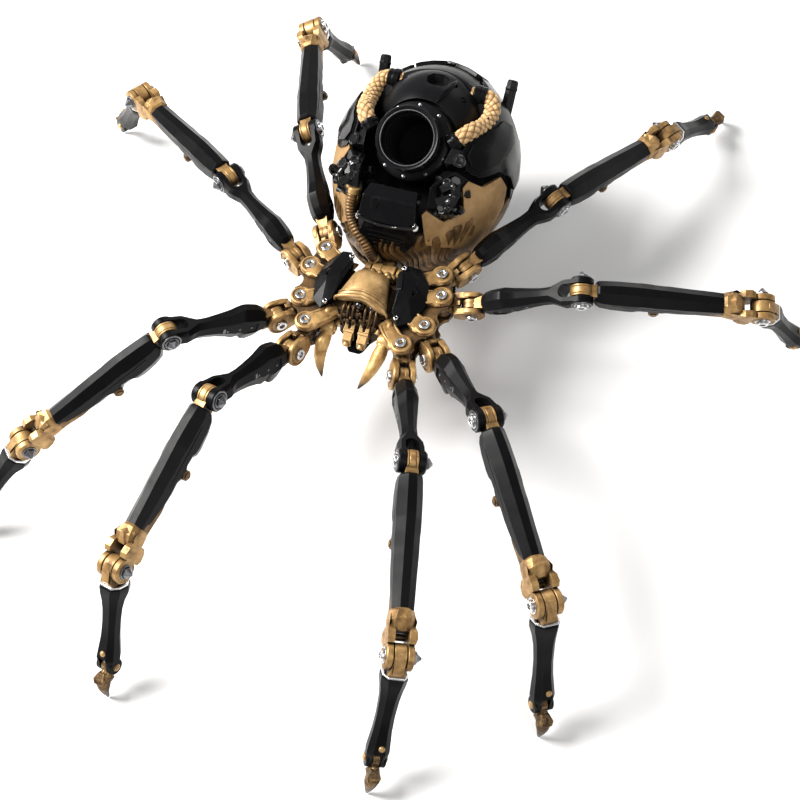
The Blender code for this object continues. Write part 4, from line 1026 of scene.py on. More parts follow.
def cowl_point(y, w, zt, zb, a, flare):
    """One point of the hood: an arch whose two ends droop forward, the spider's left one lower."""
    c = -math.cos(a)
    droop = flare * abs(c) ** 2.4 * (0.85 if c > 0 else 0.05)
    z = zb + (zt - zb) * math.sin(a) ** 0.72 - 1.7 * droop
    return Vector((w * c * (1.0 + 0.05 * flare), y - 2.6 * droop + 1.2 * flare * (1 - abs(c)) ** 2, z))


COWL_ROWS = [(-7.6, 11.9, 70.1, 65.0, 1.0), (-6.9, 11.6, 70.8, 65.0, 0.85), (-5.2, 11.2, 71.6, 65.0, 0.6), (-2.0, 10.4, 72.2, 65.0, 0.25),
             (2.0, 9.4, 72.5, 65.1, 0.05), (5.4, 8.6, 72.1, 65.2, 0.0), (7.8, 7.8, 70.6, 65.4, 0.0), (9.0, 6.8, 68.6, 65.6, 0.0)]


def cowl_shell():
    """Smooth hood: one curved sheet with thickness."""
    rings = []
    cols = 21
    for y, w, zt, zb, flare in COWL_ROWS:
        angles = [math.pi * k / (cols - 1) for k in range(cols)]
        out = [cowl_point(y, w, zt, zb, a, flare) for a in angles]
        inn = [Vector((p.x * (1 - 1.2 / w), p.y + 0.25, max(p.z - 1.2, zb - 2.9 * flare))) for p in out]
        rings.append(out + inn[::-1])
    return loft(rings)


def cowl_lip():
    y, w, zt, zb, flare = COWL_ROWS[0]
    path = [cowl_point(y, w, zt, zb, math.pi * k / 24, flare) + Vector((0, 0.1, -0.1)) for k in range(25)]
    first = sweep(path, lambda t: 0.55 + 0.25 * math.sin(math.pi * t), 12, 110)
    y, w, zt, zb, flare = COWL_ROWS[2]
    path2 = [cowl_point(y, w, zt, zb, math.pi * (k + 0.5) / 25, flare) + Vector((0, 0, 0.12)) for k in range(25)]
    second = sweep(path2, lambda t: 0.15 + 0.3 * math.sin(math.pi * t), 10, 110)
    return joined(first, second)


put("head_core", as_mesh(head_core(), DARK_BRONZE, 0.2, 2, 30), "thorax", None, ["head_block"])
for name, c in (("right", -3.4), ("left", 3.4)):
    put(f"head_gun_{name}", as_mesh(gun(c), GOLD_PALE, 0.28, 2, 28), "thorax")
put("head_cowl_hood", as_mesh(cowl_shell(), GOLD_PALE, 0.0, subsurf=2), "thorax", None, ["head_cowl"])
put("head_cowl_lip", as_mesh(cowl_lip(), GOLD_PALE, 0.0), "thorax")
eyes = [turned([(1.9, -1.0), (1.9, 0.0), (1.75, 0.7), (1.3, 1.25), (0.7, 1.6), (0.05, 1.7)], (x, -7.6, 64.6 - abs(x) * 0.12), (x * 0.03, -0.75, 0.55), 28) for x in (-1.2, 5.2)]
put("head_eyes", as_mesh(joined(*eyes), LENS, 0.0, smooth_angle=50), "thorax")
rims = [turned_ring([(1.85, -0.5), (2.4, -0.5), (2.4, 0.3), (1.95, 0.45)], (x, -7.6, 64.6 - abs(x) * 0.12), (x * 0.03, -0.75, 0.55), 28) for x in (-1.2, 5.2)]
put("head_eye_rims", as_mesh(joined(*rims), DARK_BRONZE, 0.1), "thorax")
chin_plate = hull([(sx * x, y, z) for sx in (-1, 1) for x, y, z in [(6.6, -14.0, 51.0), (6.0, -17.4, 50.4), (3.6, -20.6, 47.6), (2.6, -22.4, 48.2), (5.4, -12.0, 46.2), (3.0, -20.0, 50.6)]])
put("head_jaw", as_mesh(chin_plate, GLOSS_BLACK, 0.5, 3, 20), "thorax")


def fang_mesh(root, tip):
    root, tip = Vector(root), Vector(tip)
    length = (tip - root).length
    x = (tip - root).normalized()
    y = Vector((0, -1, 0))
    y = (y - x * y.dot(x)).normalized()
    z = x.cross(y)
    out_x = Vector((-1.0 if root.x < 0 else 0.35, 0, 0))
    rings = []
    keys = [(0.0, 0.0, 2.7), (0.28, 1.7, 3.55), (0.55, 2.5, 3.05), (0.8, 1.8, 1.95), (1.0, 0.0, 0.4)]
    steps = 22
    for k in range(steps + 1):
        t = k / steps
        j = max(i for i in range(len(keys)) if keys[i][0] <= t + 1e-9)
        j = min(j, len(keys) - 2)
        a, b = keys[j], keys[j + 1]
        s = (t - a[0]) / (b[0] - a[0])
        s = s * s * (3 - 2 * s) if j in (0, 1) else s
        bow, r = a[1] + (b[1] - a[1]) * s, a[2] + (b[2] - a[2]) * s
        c = root + x * (length * t) + y * bow + out_x * (1.5 * math.sin(math.pi * t))
        ring = []
        for i in range(20):
            q = 2 * math.pi * i / 20
            keel = 1.0 + 0.10 * max(0.0, math.cos(q)) ** 6 - 0.10 * max(0.0, -math.cos(q)) ** 4
            ring.append(c + (y * math.cos(q) * keel + z * math.sin(q) * 0.92) * r)
        rings.append(ring)
    me_parts = [loft(rings)]
    me_parts.append(rod((root.x - 2.9, root.y, root.z), (root.x + 2.9, root.y, root.z), 3.25, 28, edge=0.4))
    me_parts.append(turned([(2.6, -0.6), (3.3, 0.0), (3.3, 1.0), (2.8, 1.5)], root + x * 1.6, x, 28))
    me_parts.append(moved(cap_screw(0, 0, 0, 1, 1.7, 0.7), Matrix.Translation((root.x + 2.9, root.y, root.z)) @ Matrix.Rotation(math.radians(-90), 4, "Z")))
    me_parts.append(moved(cap_screw(0, 0, 0, 1, 1.7, 0.7), Matrix.Translation((root.x - 2.9, root.y, root.z)) @ Matrix.Rotation(math.radians(90), 4, "Z")))
    me = as_mesh(joined(*me_parts), FANG, 0.0, smooth_angle=50)
    attribute = me.attributes.new("tip", "FLOAT", "POINT")
    attribute.data.foreach_set("value", [min(1.0, max(0.0, (Vector(v.co) / MM - root).dot(x) / length)) for v in me.vertices])
    return me


FROOT = {s: joint_at(f"fang_{s}_hinge") - SHIFT for s in ("right", "left")}
FTIP = {"right": Vector((-13.0, -31.6, 37.6)), "left": Vector((5.4, -34.2, 39.4))}
for s in ("right", "left"):
    put(f"fang_blade_{s}", fang_mesh(FROOT[s], FTIP[s]), f"fang_{s}", None, [f"fang_{s}"])

# cheek brackets that carry the fangs
cheeks = []
for s in (-1, 1):
    cheeks.append(sweep([(s * 8.6, -10.5, 53.6), (s * 9.6, -12.6, 56.0), (s * 9.4, -14.8, 55.4)], lambda t: 2.6 - 0.6 * t, 14, 16))
    cheeks.append(sweep([(s * 12.4, -9.5, 58.6), (s * 14.6, -11.6, 60.4), (s * 13.6, -13.6, 59.2)], lambda t: 2.2 - 0.5 * t, 12, 16))
    cheeks.append(rod((s * 12.6, -9.0, 55.6), (s * 15.6, -11.4, 57.2), 1.6, 16))
put("head_cheeks", as_mesh(joined(*cheeks), GOLD, 0.0, smooth_angle=40), "thorax")

# ------------------------------------------------------------------ abdomen
EC, ES = Vector((0.0, 77.5, 60.5)), Vector((41.0, 52.0, 45.0))
AX = Vector((0, -math.cos(math.radians(56.0)), math.sin(math.radians(56.0))))
MZ = Vector((0.0, 60.0, 100.7))


def bore(t):
    return MZ - AX * t


def egg_point(u, v, g=0.0, c=EC, s=ES):
    return Vector((c.x + (s.x + g) * math.cos(v) * math.sin(u), c.y - (s.y + g) * math.cos(v) * math.cos(u), c.z + (s.z + g) * math.sin(v)))


def egg_solid(grow=0.0, nu=96, nv=48, c=EC, s=ES):
    rings = []
    for j in range(1, nv):
        v = -math.pi / 2 + math.pi * j / nv
        rings.append([egg_point(2 * math.pi * i / nu, v, grow, c, s) for i in range(nu)])
    return loft(rings)


def panel(outline, g0, g1, step=0.12, c=EC, s=ES, edge=0.0):
    """A plate of the given outline in (longitude, latitude) wrapped onto the egg between two heights."""
    bm = bmesh.new()
    vs = [bm.verts.new((u, v, 0.0)) for u, v in outline]
    face = bm.faces.new(vs)
    out = bmesh.ops.extrude_face_region(bm, geom=[face])
    for v in out["geom"]:
        if isinstance(v, bmesh.types.BMVert):
            v.co.z = 1.0
    us, vvs = [p[0] for p in outline], [p[1] for p in outline]
    for axis, lo, hi in ((0, min(us), max(us)), (1, min(vvs), max(vvs))):
        k = math.ceil(lo / step)
        while k * step < hi:
            co = Vector((0, 0, 0))
            co[axis] = k * step
            no = Vector((0, 0, 0))
            no[axis] = 1
            if k * step > lo + 1e-4:
                bmesh.ops.bisect_plane(bm, geom=bm.verts[:] + bm.edges[:] + bm.faces[:], plane_co=co, plane_no=no, dist=1e-5)
            k += 1
    for v in bm.verts:
        v.co = egg_point(v.co.x, v.co.y, g0 + (g1 - g0) * v.co.z, c, s)
    bmesh.ops.recalc_face_normals(bm, faces=bm.faces)
    return bm


def dome_core(r, n=72, m=36, c=(0.0, 90.0, 74.0)):
    c = Vector(c)
    rings = []
    for j in range(1, m):
        p = math.pi * j / m
        rings.append([c + AX * (r * math.cos(p)) + (Vector((1, 0, 0)) * math.cos(t) + AX.cross(Vector((1, 0, 0))) * math.sin(t)) * (r * math.sin(p))
                      for t in [2 * math.pi * i / n for i in range(n)]])
    return loft(rings)


TURRET_C, TURRET_R = Vector((0.0, 90.0, 76.5)), 25.5


def slab(t0, t1, half=60.0, low=-60.0, high=90.0):
    """The space between two distances behind the muzzle."""
    e2 = AX.cross(Vector((-1, 0, 0)))
    return hull([bore(t) + Vector((x, 0, 0)) + e2 * v for t in (t0, t1) for x in (-half, half) for v in (low, high)])


def above(z0, half=70.0):
    return block((-half, -40, z0), (half, 200, 200))


# black inner body that shows between the armour plates
inner = egg_solid(-1.2, 96, 48)
HOSE = [(20.0, 67.0, 95.6), (22.6, 69.6, 97.2), (25.2, 74.5, 96.6), (27.4, 81.8, 92.2), (28.3, 89.0, 89.9), (27.7, 95.6, 89.7), (24.4, 100.4, 90.5), (16.5, 100.4, 90.6)]
CHANNEL = [(20.0, 67.0, 95.6), (22.6, 69.6, 97.2), (25.2, 74.5, 96.6), (26.8, 81.0, 94.2), (27.6, 88.5, 90.8), (27.4, 96.5, 86.4), (26.2, 103.6, 81.0), (22.0, 109.0, 76.0)]
channels = [sweep([(sx * x, y, z) for x, y, z in CHANNEL], 4.5, 16, 60) for sx in (-1, 1)]
inner = cut(inner, boolean(slab(-60, 28.4), above(70.4), "INTERSECT"), turned([(15.6, -60), (15.6, 36)], MZ, -AX, 48))
put("abdomen_core", smooth_mesh(inner, DOME_BLACK), "abdomen", None, ["abdomen_shell"])

# band of the turret base, between the egg and the dome; it is built here but not put into the scene
band = boolean(boolean(egg_solid(0.5, 96, 48), boolean(slab(21.6, 29.2), above(70.6), "INTERSECT"), "INTERSECT"), turned([(15.7, -60), (15.7, 60)], MZ, -AX, 48))
band = cut(band, *[hull([bore(t) + (Vector((1, 0, 0)) * math.cos(a) + AX.cross(Vector((-1, 0, 0))) * math.sin(a)) * r + (Vector((1, 0, 0)) * -math.sin(a) + AX.cross(Vector((-1, 0, 0))) * math.cos(a)) * w
                        for t in (20.0, 24.2) for r in (25.0, 60.0) for w in (-0.5, 0.5)]) for a in [math.radians(d) for d in (-150, -115, -65, -30, 20, 52, 128, 160)]])
band = cut(band, *[block((s0, -40, 0), (s1, 200, 200)) for s0, s1 in ((-80, -27.5), (27.5, 80))], *channels)

# gold side armour, image-right side has the notched top edge
W_OUT = [(0.42, 0.15), (0.40, 0.49), (0.46, 0.52), (0.64, 0.36), (0.86, 0.36), (0.93, 0.58), (1.03, 0.60), (1.16, 0.44), (1.42, 0.33), (1.46, 0.14), (1.36, -0.02), (1.24, -0.10), (1.08, -0.22), (0.97, -0.33), (0.80, -0.12), (0.66, 0.02)]
STRIP = [(-0.44, 0.52), (-0.52, 0.56), (-0.72, 0.43), (-0.96, 0.50), (-0.98, 0.72), (-1.10, 0.72), (-1.44, 0.42), (-1.30, 0.10), (-1.02, -0.10), (-0.80, -0.10), (-0.62, 0.06), (-0.50, 0.22)]


def faceted(outline, g0, g1, step=0.2):
    return panel(outline, g0, g1, step)


put("abdomen_panel_left", as_mesh(faceted(W_OUT, -1.0, 1.3, 0.30), GOLD_PANEL, 0.45, 2, 24), "abdomen")
put("abdomen_panel_right", as_mesh(faceted(STRIP, -1.0, 1.3, 0.30), GOLD_PANEL, 0.45, 2, 24), "abdomen")

# bronze lower body between the ribs and the black rear
for name, s in (("right", -1), ("left", 1)):
    flank = [(s * u, v) for u, v in ((0.98, -0.40), (1.10, -0.26), (1.26, -0.14), (1.40, -0.05), (1.52, -0.10), (1.62, -0.50), (1.50, -0.95), (1.0, -0.98))]
    put(f"abdomen_flank_{name}", as_mesh(faceted(flank, -1.0, 0.9, 0.28), BRONZE, 0.4, 2, 24), "abdomen")


def ribs_body(v0=-0.80, v1=0.26, u1=0.99, nu=380, nv=84):
    """Flowing upright folds over the lower front of the abdomen."""
    def height(u, v):
        warp = 0.05 * math.sin(7.0 * v + 3.1 * u) + 0.035 * math.sin(15.0 * v - 6.0 * u + 1.0)
        warp += 0.05 * noise.noise(Vector((u * 3.5, v * 4.0, 4.2)))
        a = (u + warp) * (34.0 + 3.0 * math.sin(3 * u))
        depth = 0.55 + 0.45 * noise.noise(Vector((math.floor(a / math.pi) * 1.7, v * 2.2, 9.1)))
        fold = depth * abs(math.sin(a)) ** 0.6
        sub = 0.28 * abs(math.sin(a * 2.3 + 5 * v)) ** 0.8
        n = noise.noise(Vector((u * 9, v * 5, 1.7))) * 0.45
        lo = min(1.0, (v - v0) / 0.05)
        hi = min(1.0, (v1 - v) / 0.05)
        side = min(1.0, (u1 - abs(u)) / 0.06)
        return (0.6 + 1.9 * fold + sub + n) * max(0.0, min(lo, 1.0)) ** 0.5 * max(0.0, hi) ** 0.5 * max(0.0, side) ** 0.5 - 0.8
    rings = []
    for i in range(nu + 1):
        u = -u1 + 2 * u1 * i / nu
        outer = [egg_point(u, v0 + (v1 - v0) * j / nv, height(u, v0 + (v1 - v0) * j / nv)) for j in range(nv + 1)]
        innr = [egg_point(u, v0 + (v1 - v0) * j / 6, -2.6) for j in range(6, -1, -1)]
        rings.append(outer + innr)
    return loft(rings)


put("abdomen_rib_folds", smooth_mesh(ribs_body(), BRONZE, 60), "abdomen", None, ["rib_flutes"])
# rolled rims that bound the folds
for k, (vv, g, r) in enumerate(((-0.36, 2.2, 1.5), (-0.52, 1.9, 1.25), (-0.66, 1.5, 1.1))):
    pts = [egg_point(-1.0 + 2.0 * i / 24, vv + 0.16 * abs(-1.0 + 2.0 * i / 24) ** 2 * (-1) + 0.03 * math.sin(i * 1.1 + k), g) for i in range(25)]
    put(f"abdomen_rib_rim_{k}", smooth_mesh(sweep(pts, lambda t, r=r: r * (0.55 + 0.45 * math.sin(math.pi * t) ** 0.5), 14, 120), BRONZE), "abdomen")


def corrugated(points, r, rings_n, depth=0.16, count=260, n=20):
    return sweep(points, lambda t: r * (1 - depth * 0.5 + depth * (0.5 + 0.5 * math.cos(2 * math.pi * rings_n * t)) ** 0.6), n, count)


feed = [Vector((-18.6, 37.6, 83.6)), Vector((-19.0, 33.6, 79.0)), Vector((-17.6, 30.0, 74.2)), Vector((-14.0, 26.6, 70.0)), Vector((-9.6, 24.2, 65.0)), Vector((-7.2, 23.2, 60.0)), Vector((-5.4, 24.0, 56.0))]
put("feed_pipe", smooth_mesh(corrugated(feed, 2.4, 26), BRONZE, 50), "abdomen")
put("feed_pipe_ferrules", as_mesh(joined(
    turned([(2.3, -1.4), (2.9, -1.0), (2.9, 1.4), (2.3, 1.8)], (-18.2, 38.0, 84.2), (0.05, 0.5, 0.85), 24),
    turned([(2.4, -1.6), (3.0, -1.2), (3.0, 1.2), (2.4, 1.6)], (-6.0, 23.8, 57.0), (0.35, 0.35, -0.85), 24),
    rod((-20.6, 38.6, 84.6), (-23.0, 40.6, 85.4), 1.2, 14)), GOLD, 0.2, 2, 30), "abdomen")

# rear armour: overlapping black plates with seams
rear_c, rear_s = Vector((0, 79.0, 56.0)), Vector((38.5, 48.0, 31.0))


def plates_rear():
    rows = []
    belts = [(-1.30, -0.62), (-0.60, -0.22), (-0.20, 0.22), (0.24, 0.66)]
    spans = [(1.56, 2.10), (2.12, 2.62), (2.64, 3.12)]
    for bi, (va, vb) in enumerate(belts):
        for si, (ua, ub) in enumerate(spans):
            for s in (-1, 1):
                a, b = ua, ub
                outline = [(s * a, va), (s * b, va), (s * b, vb - 0.03), (s * (b - 0.06), vb), (s * (a + 0.06), vb), (s * a, vb - 0.03)]
                rows.append(panel(outline if s > 0 else outline[::-1], -1.1, 0.45 + 0.35 * ((bi + si) % 2), 0.16))
    return joined(*rows)


put("rear_armour_plates", as_mesh(plates_rear(), GLOSS_BLACK, 0.35, 2, 26), "abdomen", None, ["rear_armour"])
spine_parts = []
for k in range(7):
    v = 0.62 - 0.24 * k
    p = egg_point(math.pi, v, 0.9)
    nrm = (p - EC).normalized()
    spine_parts.append(turned([(2.6 - 0.16 * k, -1.0), (2.9 - 0.16 * k, -0.3), (2.3 - 0.16 * k, 0.45), (1.2, 0.8), (0.1, 0.9)], p - nrm * 0.8, nrm, 22))
put("rear_spine_studs", as_mesh(joined(*spine_parts), DARK_STEEL, 0.12, 2, 30), "abdomen")
# pointed tail spinneret at the rear
tail_p = egg_point(math.pi, -0.30, -0.6)
put("rear_vent", as_mesh(joined(turned_ring([(3.2, -0.8), (5.4, -0.8), (5.2, 0.7), (4.4, 1.0), (3.4, 0.6)], tail_p, (tail_p - EC), 36),
                                *[rod(tail_p + Vector((dx, 0.1, -2.6)), tail_p + Vector((dx, 0.1, 2.6)), 0.45, 10) for dx in (-1.8, -0.6, 0.6, 1.8)]), DARK_BRONZE, 0.15, 2, 30), "abdomen")


# turret
E2 = AX.cross(Vector((-1, 0, 0)))


def round_bore(a, r):
    """Direction a round the bore at radius r from its axis."""
    return (Vector((1, 0, 0)) * math.cos(a) + E2 * math.sin(a)) * r


def on_dome(a, r, grow=0.0):
    """The point of the dome's front at radius r from the bore axis, or None below the dome."""
    q = MZ + round_bore(a, r) - TURRET_C
    b = q.dot(AX)
    disc = b * b - q.length_squared + (TURRET_R + grow) ** 2
    if disc < 0:
        return None
    return bore(b - math.sqrt(disc)) + round_bore(a, r)


CROWN = TURRET_C + Vector((2.2, 6.2, 24.4)).normalized() * TURRET_R
CROWN_N = (CROWN - TURRET_C).normalized()


def scoop_space(shrink):
    """The recess at the crown of the turret; its liner, a sheet of painted shade, is this less a smaller copy."""
    side = (Vector((1, 0, 0)) - CROWN_N * CROWN_N.x).normalized()
    along = CROWN_N.cross(side)
    low = -5.0 + shrink
    outline = [(-5.0, -3.2), (-2.4, -4.8), (3.0, -4.4), (5.6, -1.6), (5.0, 3.4), (1.8, 5.0), (-3.6, 4.2), (-5.6, 1.0)]
    return hull([CROWN + side * (x * (1 - shrink / 6)) * k + along * (y * (1 - shrink / 5)) * k + CROWN_N * z for x, y in outline for z, k in ((low, 0.86), (6.0, 1.12))])


def turret_shell():
    shell = dome_core(TURRET_R, 84, 42, TURRET_C)
    shell = cut(shell, turned([(19.5, -60), (19.5, 20.5)], MZ, -AX, 72), turned([(15.7, -60), (15.7, 60)], MZ, -AX, 48), block((-60, 20, 0), (60, 160, 66.0)))
    # twin scoop at the crown, a ridge beside it and small ports
    def normal_at(p):
        return (Vector(p) - TURRET_C).normalized()
    shell = cut(shell, scoop_space(0.0))
    # a scoop at the crown and small ports (the ridge beside the scoop is the crest, made further down)
    for v, r, depth in (((9.5, 6.0, 22.0), 1.8, 1.4), ((15.0, 1.0, 19.0), 1.5, 1.2), ((-14.0, 6.5, 19.0), 1.8, 1.2), ((13.0, 14.0, 15.0), 2.4, 1.2), ((-13.0, 15.5, 14.0), 2.4, 1.2)):
        p = TURRET_C + Vector(v).normalized() * TURRET_R
        shell = cut(shell, turned([(r, -depth), (r, 6)], p, normal_at(p), 24))
    return shell


liner_side = (Vector((1, 0, 0)) - CROWN_N * CROWN_N.x).normalized()
above_crown = hull([CROWN + liner_side * x + CROWN_N.cross(liner_side) * y + CROWN_N * z for x in (-14, 14) for y in (-14, 14) for z in (-1.3, 14)])
# painted shade: a dark matte sheet lining the scoop's walls so the recess reads dark
scoop_shade_liner = cut(cut(scoop_space(-0.1), scoop_space(0.45)), above_crown)
put("turret_scoop_shade_liner", as_mesh(scoop_shade_liner, RECESS_SHADE_BLACK, 0.0, smooth_angle=30), "abdomen")
put("turret_shell", as_mesh(turret_shell(), DOME_BLACK, 0.4, 3, 34, smooth_angle=30), "abdomen", None, ["turret_dome"])
brow = []
for k in range(61):
    a = math.radians(-13 + 206 * k / 60)
    p = on_dome(a, 20.3, 0.1)
    if p is not None:
        brow.append(p)
put("turret_brow", smooth_mesh(sweep(brow, lambda t: 1.35 * (0.35 + 0.65 * math.sin(math.pi * t) ** 0.4), 16, 160), DOME_BLACK), "abdomen")
crest = []
ridge_pts = []
for k in range(12):
    t = k / 11
    ridge_pts.append(TURRET_C + Vector((5.6 + 4.0 * t, -7.0 + 16.0 * t, 24.0 - 3.0 * t)).normalized() * (TURRET_R + 0.1))
crest.append(sweep(ridge_pts, lambda t: 1.5 * (0.4 + 0.6 * math.sin(math.pi * t)), 14, 50))
for v in ((9.5, 6.0, 22.0), (15.0, 1.0, 19.0), (-14.0, 6.5, 19.0), (13.0, 14.0, 15.0), (-13.0, 15.5, 14.0)):
    d = Vector(v).normalized()
    p = TURRET_C + d * TURRET_R
    crest.append(turned([(1.1, -2.0), (1.15, -0.6), (0.85, -0.2), (0.1, -0.1)], p, d, 18))
put("turret_crest", smooth_mesh(joined(*crest), GLOSS_BLACK), "abdomen")
brow_u, brow_v = Vector((1, 0, 0)), E2

# cannon
barrel = turned_ring([(11.35, 3.4), (11.9, 1.6), (12.9, 0.55), (13.6, 0.1), (14.1, 0.0), (14.4, 0.45), (14.4, 2.2), (14.15, 2.4), (14.15, 2.9), (14.4, 3.1), (14.4, 7.6), (14.2, 7.8), (14.2, 8.3), (14.4, 8.5),
                      (14.5, 9.4), (16.6, 9.7), (17.5, 10.3), (17.85, 11.2), (17.85, 13.4), (17.5, 13.7), (17.5, 14.4), (17.85, 14.7), (17.85, 18.6), (17.2, 19.2), (15.4, 19.8), (15.2, 33.0), (11.35, 33.0)], MZ, -AX, 96)
put("cannon_barrel_tube", as_mesh(barrel, DOME_BLACK, 0.0, smooth_angle=26), "abdomen", None, ["cannon_barrel"])
put("cannon_muzzle_ring", smooth_mesh(torus(bore(0.75), AX, 12.35, 0.28, 96, 10), DARK_STEEL), "abdomen")
# painted shade: a dark matte sleeve and end disc inside the bore, so the hole reads dark; the rifling rings share that
# dark material
bore_shade_sleeve = turned_ring([(11.33, 3.2), (11.36, 3.2), (11.36, 31.0), (11.2, 31.0)], MZ, -AX, 72)
bore_shade_plug = turned([(11.3, 30.6), (11.3, 31.2)], MZ, -AX, 64)
rifle = [turned_ring([(11.34, t), (11.05, t + 0.3), (11.05, t + 0.8), (11.34, t + 1.1)], MZ, -AX, 64) for t in (6.0, 10.0, 14.0, 18.0, 22.0, 26.0)]
put("cannon_bore_shade_liner", smooth_mesh(joined(bore_shade_sleeve, bore_shade_plug, *rifle), RECESS_SHADE_BLACK), "abdomen")
collar_bolts = []
for k in range(10):
    a = 2 * math.pi * (k + 0.5) / 10
    d = brow_u * math.cos(a) + brow_v * math.sin(a)
    collar_bolts.append(turned([(0.85, -0.5), (0.95, 0.0), (0.8, 0.4), (0.3, 0.6)], bore(9.75) + d * 16.2, AX, 14))
put("cannon_collar_bolts", as_mesh(joined(*collar_bolts), DARK_STEEL, 0.0, smooth_angle=40), "abdomen")

# braided hoses
def braided(side, r=3.35, count=330, n=112, strands=3, pitch=3.9):
    path = spline([Vector((side * x, y, z)) for x, y, z in HOSE], count)
    length = sum((b - a).length for a, b in zip(path, path[1:]))
    rings, marks = [], []
    s = 0.0
    prev = path[0]
    for i, (p, t, u, v) in enumerate(frames_along(path)):
        s += (p - prev).length
        prev = p
        ring = []
        for k in range(n):
            th = 2 * math.pi * k / n
            a = strands * th / (2 * math.pi) * 2 + s / pitch
            b = strands * th / (2 * math.pi) * 2 - s / pitch
            fa, fb = a % 1.0, b % 1.0
            over = (int(math.floor(a)) + int(math.floor(b))) % 2 == 0
            # a strand bulges across its own width and dives at both ends of the crossing
            w, l = (fa, fb) if over else (fb, fa)
            bulge = max(0.0, math.sin(math.pi * w)) ** 0.5
            dive = max(0.0, math.sin(math.pi * l)) ** 0.45
            h = bulge * (0.35 + 0.65 * dive)
            shade = (math.sin(math.floor(a) * 12.9 + math.floor(b) * 78.2) * 43758.5) % 1.0
            fibre = 0.5 + 0.5 * math.sin(2 * math.pi * 5 * w)
            ring.append(p + (u * math.cos(th) + v * math.sin(th)) * (r - 0.30 + 0.85 * h + 0.035 * fibre))
            # first channel: the strand height, which the sleeve material turns into painted shade in the crossings
            marks.append((h, shade, fibre, 1.0))
        rings.append(ring)
    me = as_mesh(loft(rings), BRAID, 0.0)
    attribute = me.color_attributes.new("weave", "FLOAT_COLOR", "POINT")
    attribute.data.foreach_set("color", [c for m in marks for c in m])
    return me


for name, s in (("right", -1), ("left", 1)):
    put(f"hose_sleeve_{name}", braided(s), "abdomen", None, [f"hose_{name}"])
    a, b = Vector((s * 20.0, 67.0, 95.6)), Vector((s * 22.6, 69.6, 97.2))
    d = (b - a).normalized()
    socket = turned([(3.6, -3.0), (4.5, -2.4), (4.5, -0.4), (4.9, -0.1), (4.9, 1.0), (4.4, 1.4), (4.2, 2.2), (3.7, 2.4)], a, d, 36)
    e, g = Vector((s * 22.8, 100.5, 90.6)), Vector((s * 16.5, 100.4, 90.6))
    d2 = (g - e).normalized()
    sock2 = turned([(3.8, -1.0), (4.5, -0.6), (4.5, 1.6), (4.9, 2.0), (4.9, 4.4), (4.0, 5.2)], e, d2, 36)
    put(f"hose_ferrules_{name}", as_mesh(joined(socket, sock2), GLOSS_BLACK, 0.15, 2, 30), "abdomen")


# side wings with posts
def wing_parts(side):
    outer = [(1.04, 0.70), (1.16, 0.55), (1.42, 0.40), (1.53, 0.20), (1.56, -0.02), (1.78, -0.16), (2.00, -0.12), (2.08, 0.04), (1.98, 0.18), (2.06, 0.34), (2.22, 0.50), (2.10, 0.68), (1.72, 0.84), (1.36, 0.92), (1.10, 0.86)]
    o = [(side * u, v) for u, v in outer]
    if side < 0:
        o = o[::-1]
    big = panel(o, -1.4, 2.0, 0.16)
    upper = [(1.12, 0.70), (1.24, 0.57), (1.50, 0.45), (1.80, 0.36), (1.94, 0.44), (1.90, 0.60), (1.60, 0.76), (1.30, 0.84), (1.14, 0.80)]
    o2 = [(side * u, v) for u, v in upper]
    if side < 0:
        o2 = o2[::-1]
    top = panel(o2, 1.4, 3.0, 0.16)
    ridge = hull([(side * x, y, z) for x, y, z in ((27.6, 66.0, 90.6), (33.0, 72.0, 85.0), (36.0, 88.0, 80.0), (31.0, 98.0, 79.0), (28.0, 90.0, 86.0), (27.0, 76.0, 91.0), (33.0, 80.0, 82.0), (30.0, 84.0, 80.0))])
    return joined(big, top), ridge


def post_part(side):
    base, tip = Vector((side * 30.0, 98.0, 71.0)), Vector((side * 31.0, 116.0, 88.0))
    a = (tip - base).normalized()
    L = (tip - base).length
    shaft = turned([(3.6, 0.0), (3.2, 2.0), (2.9, 4.0), (2.75, L - 4.5), (3.0, L - 4.2), (3.0, L - 3.4), (2.75, L - 3.1), (2.7, L - 0.7), (2.3, L - 0.1)], base, a, 8)
    strap = hull([base + Vector((side * dx, dy, dz)) for dx, dy, dz in ((-4, -6, 4), (3, -5, 1), (4, 4, -3), (-3, 5, 2), (2, 8, 6), (-2.4, 7, 7.4))])
    return joined(shaft, strap), joined(turned([(2.0, L - 0.3), (2.1, L + 0.1), (1.2, L + 0.3), (1.1, L - 0.4), (0.1, L - 0.5)], base, a, 18))


for name, s in (("right", -1), ("left", 1)):
    big, ridge = wing_parts(s)
    put(f"wing_plate_{name}", as_mesh(big, GLOSS_BLACK, 0.4, 3, 24), "abdomen", None, [f"side_wing_{name}"])
    put(f"wing_ridge_{name}", as_mesh(ridge, GLOSS_BLACK, 0.6, 3, 18), "abdomen")
    shaft, capn = post_part(s)
    put(f"wing_post_{name}", as_mesh(shaft, GLOSS_BLACK, 0.3, 2, 24), "abdomen")
    put(f"wing_post_cap_{name}", as_mesh(capn, DARK_STEEL, 0.1, 2, 30), "abdomen")


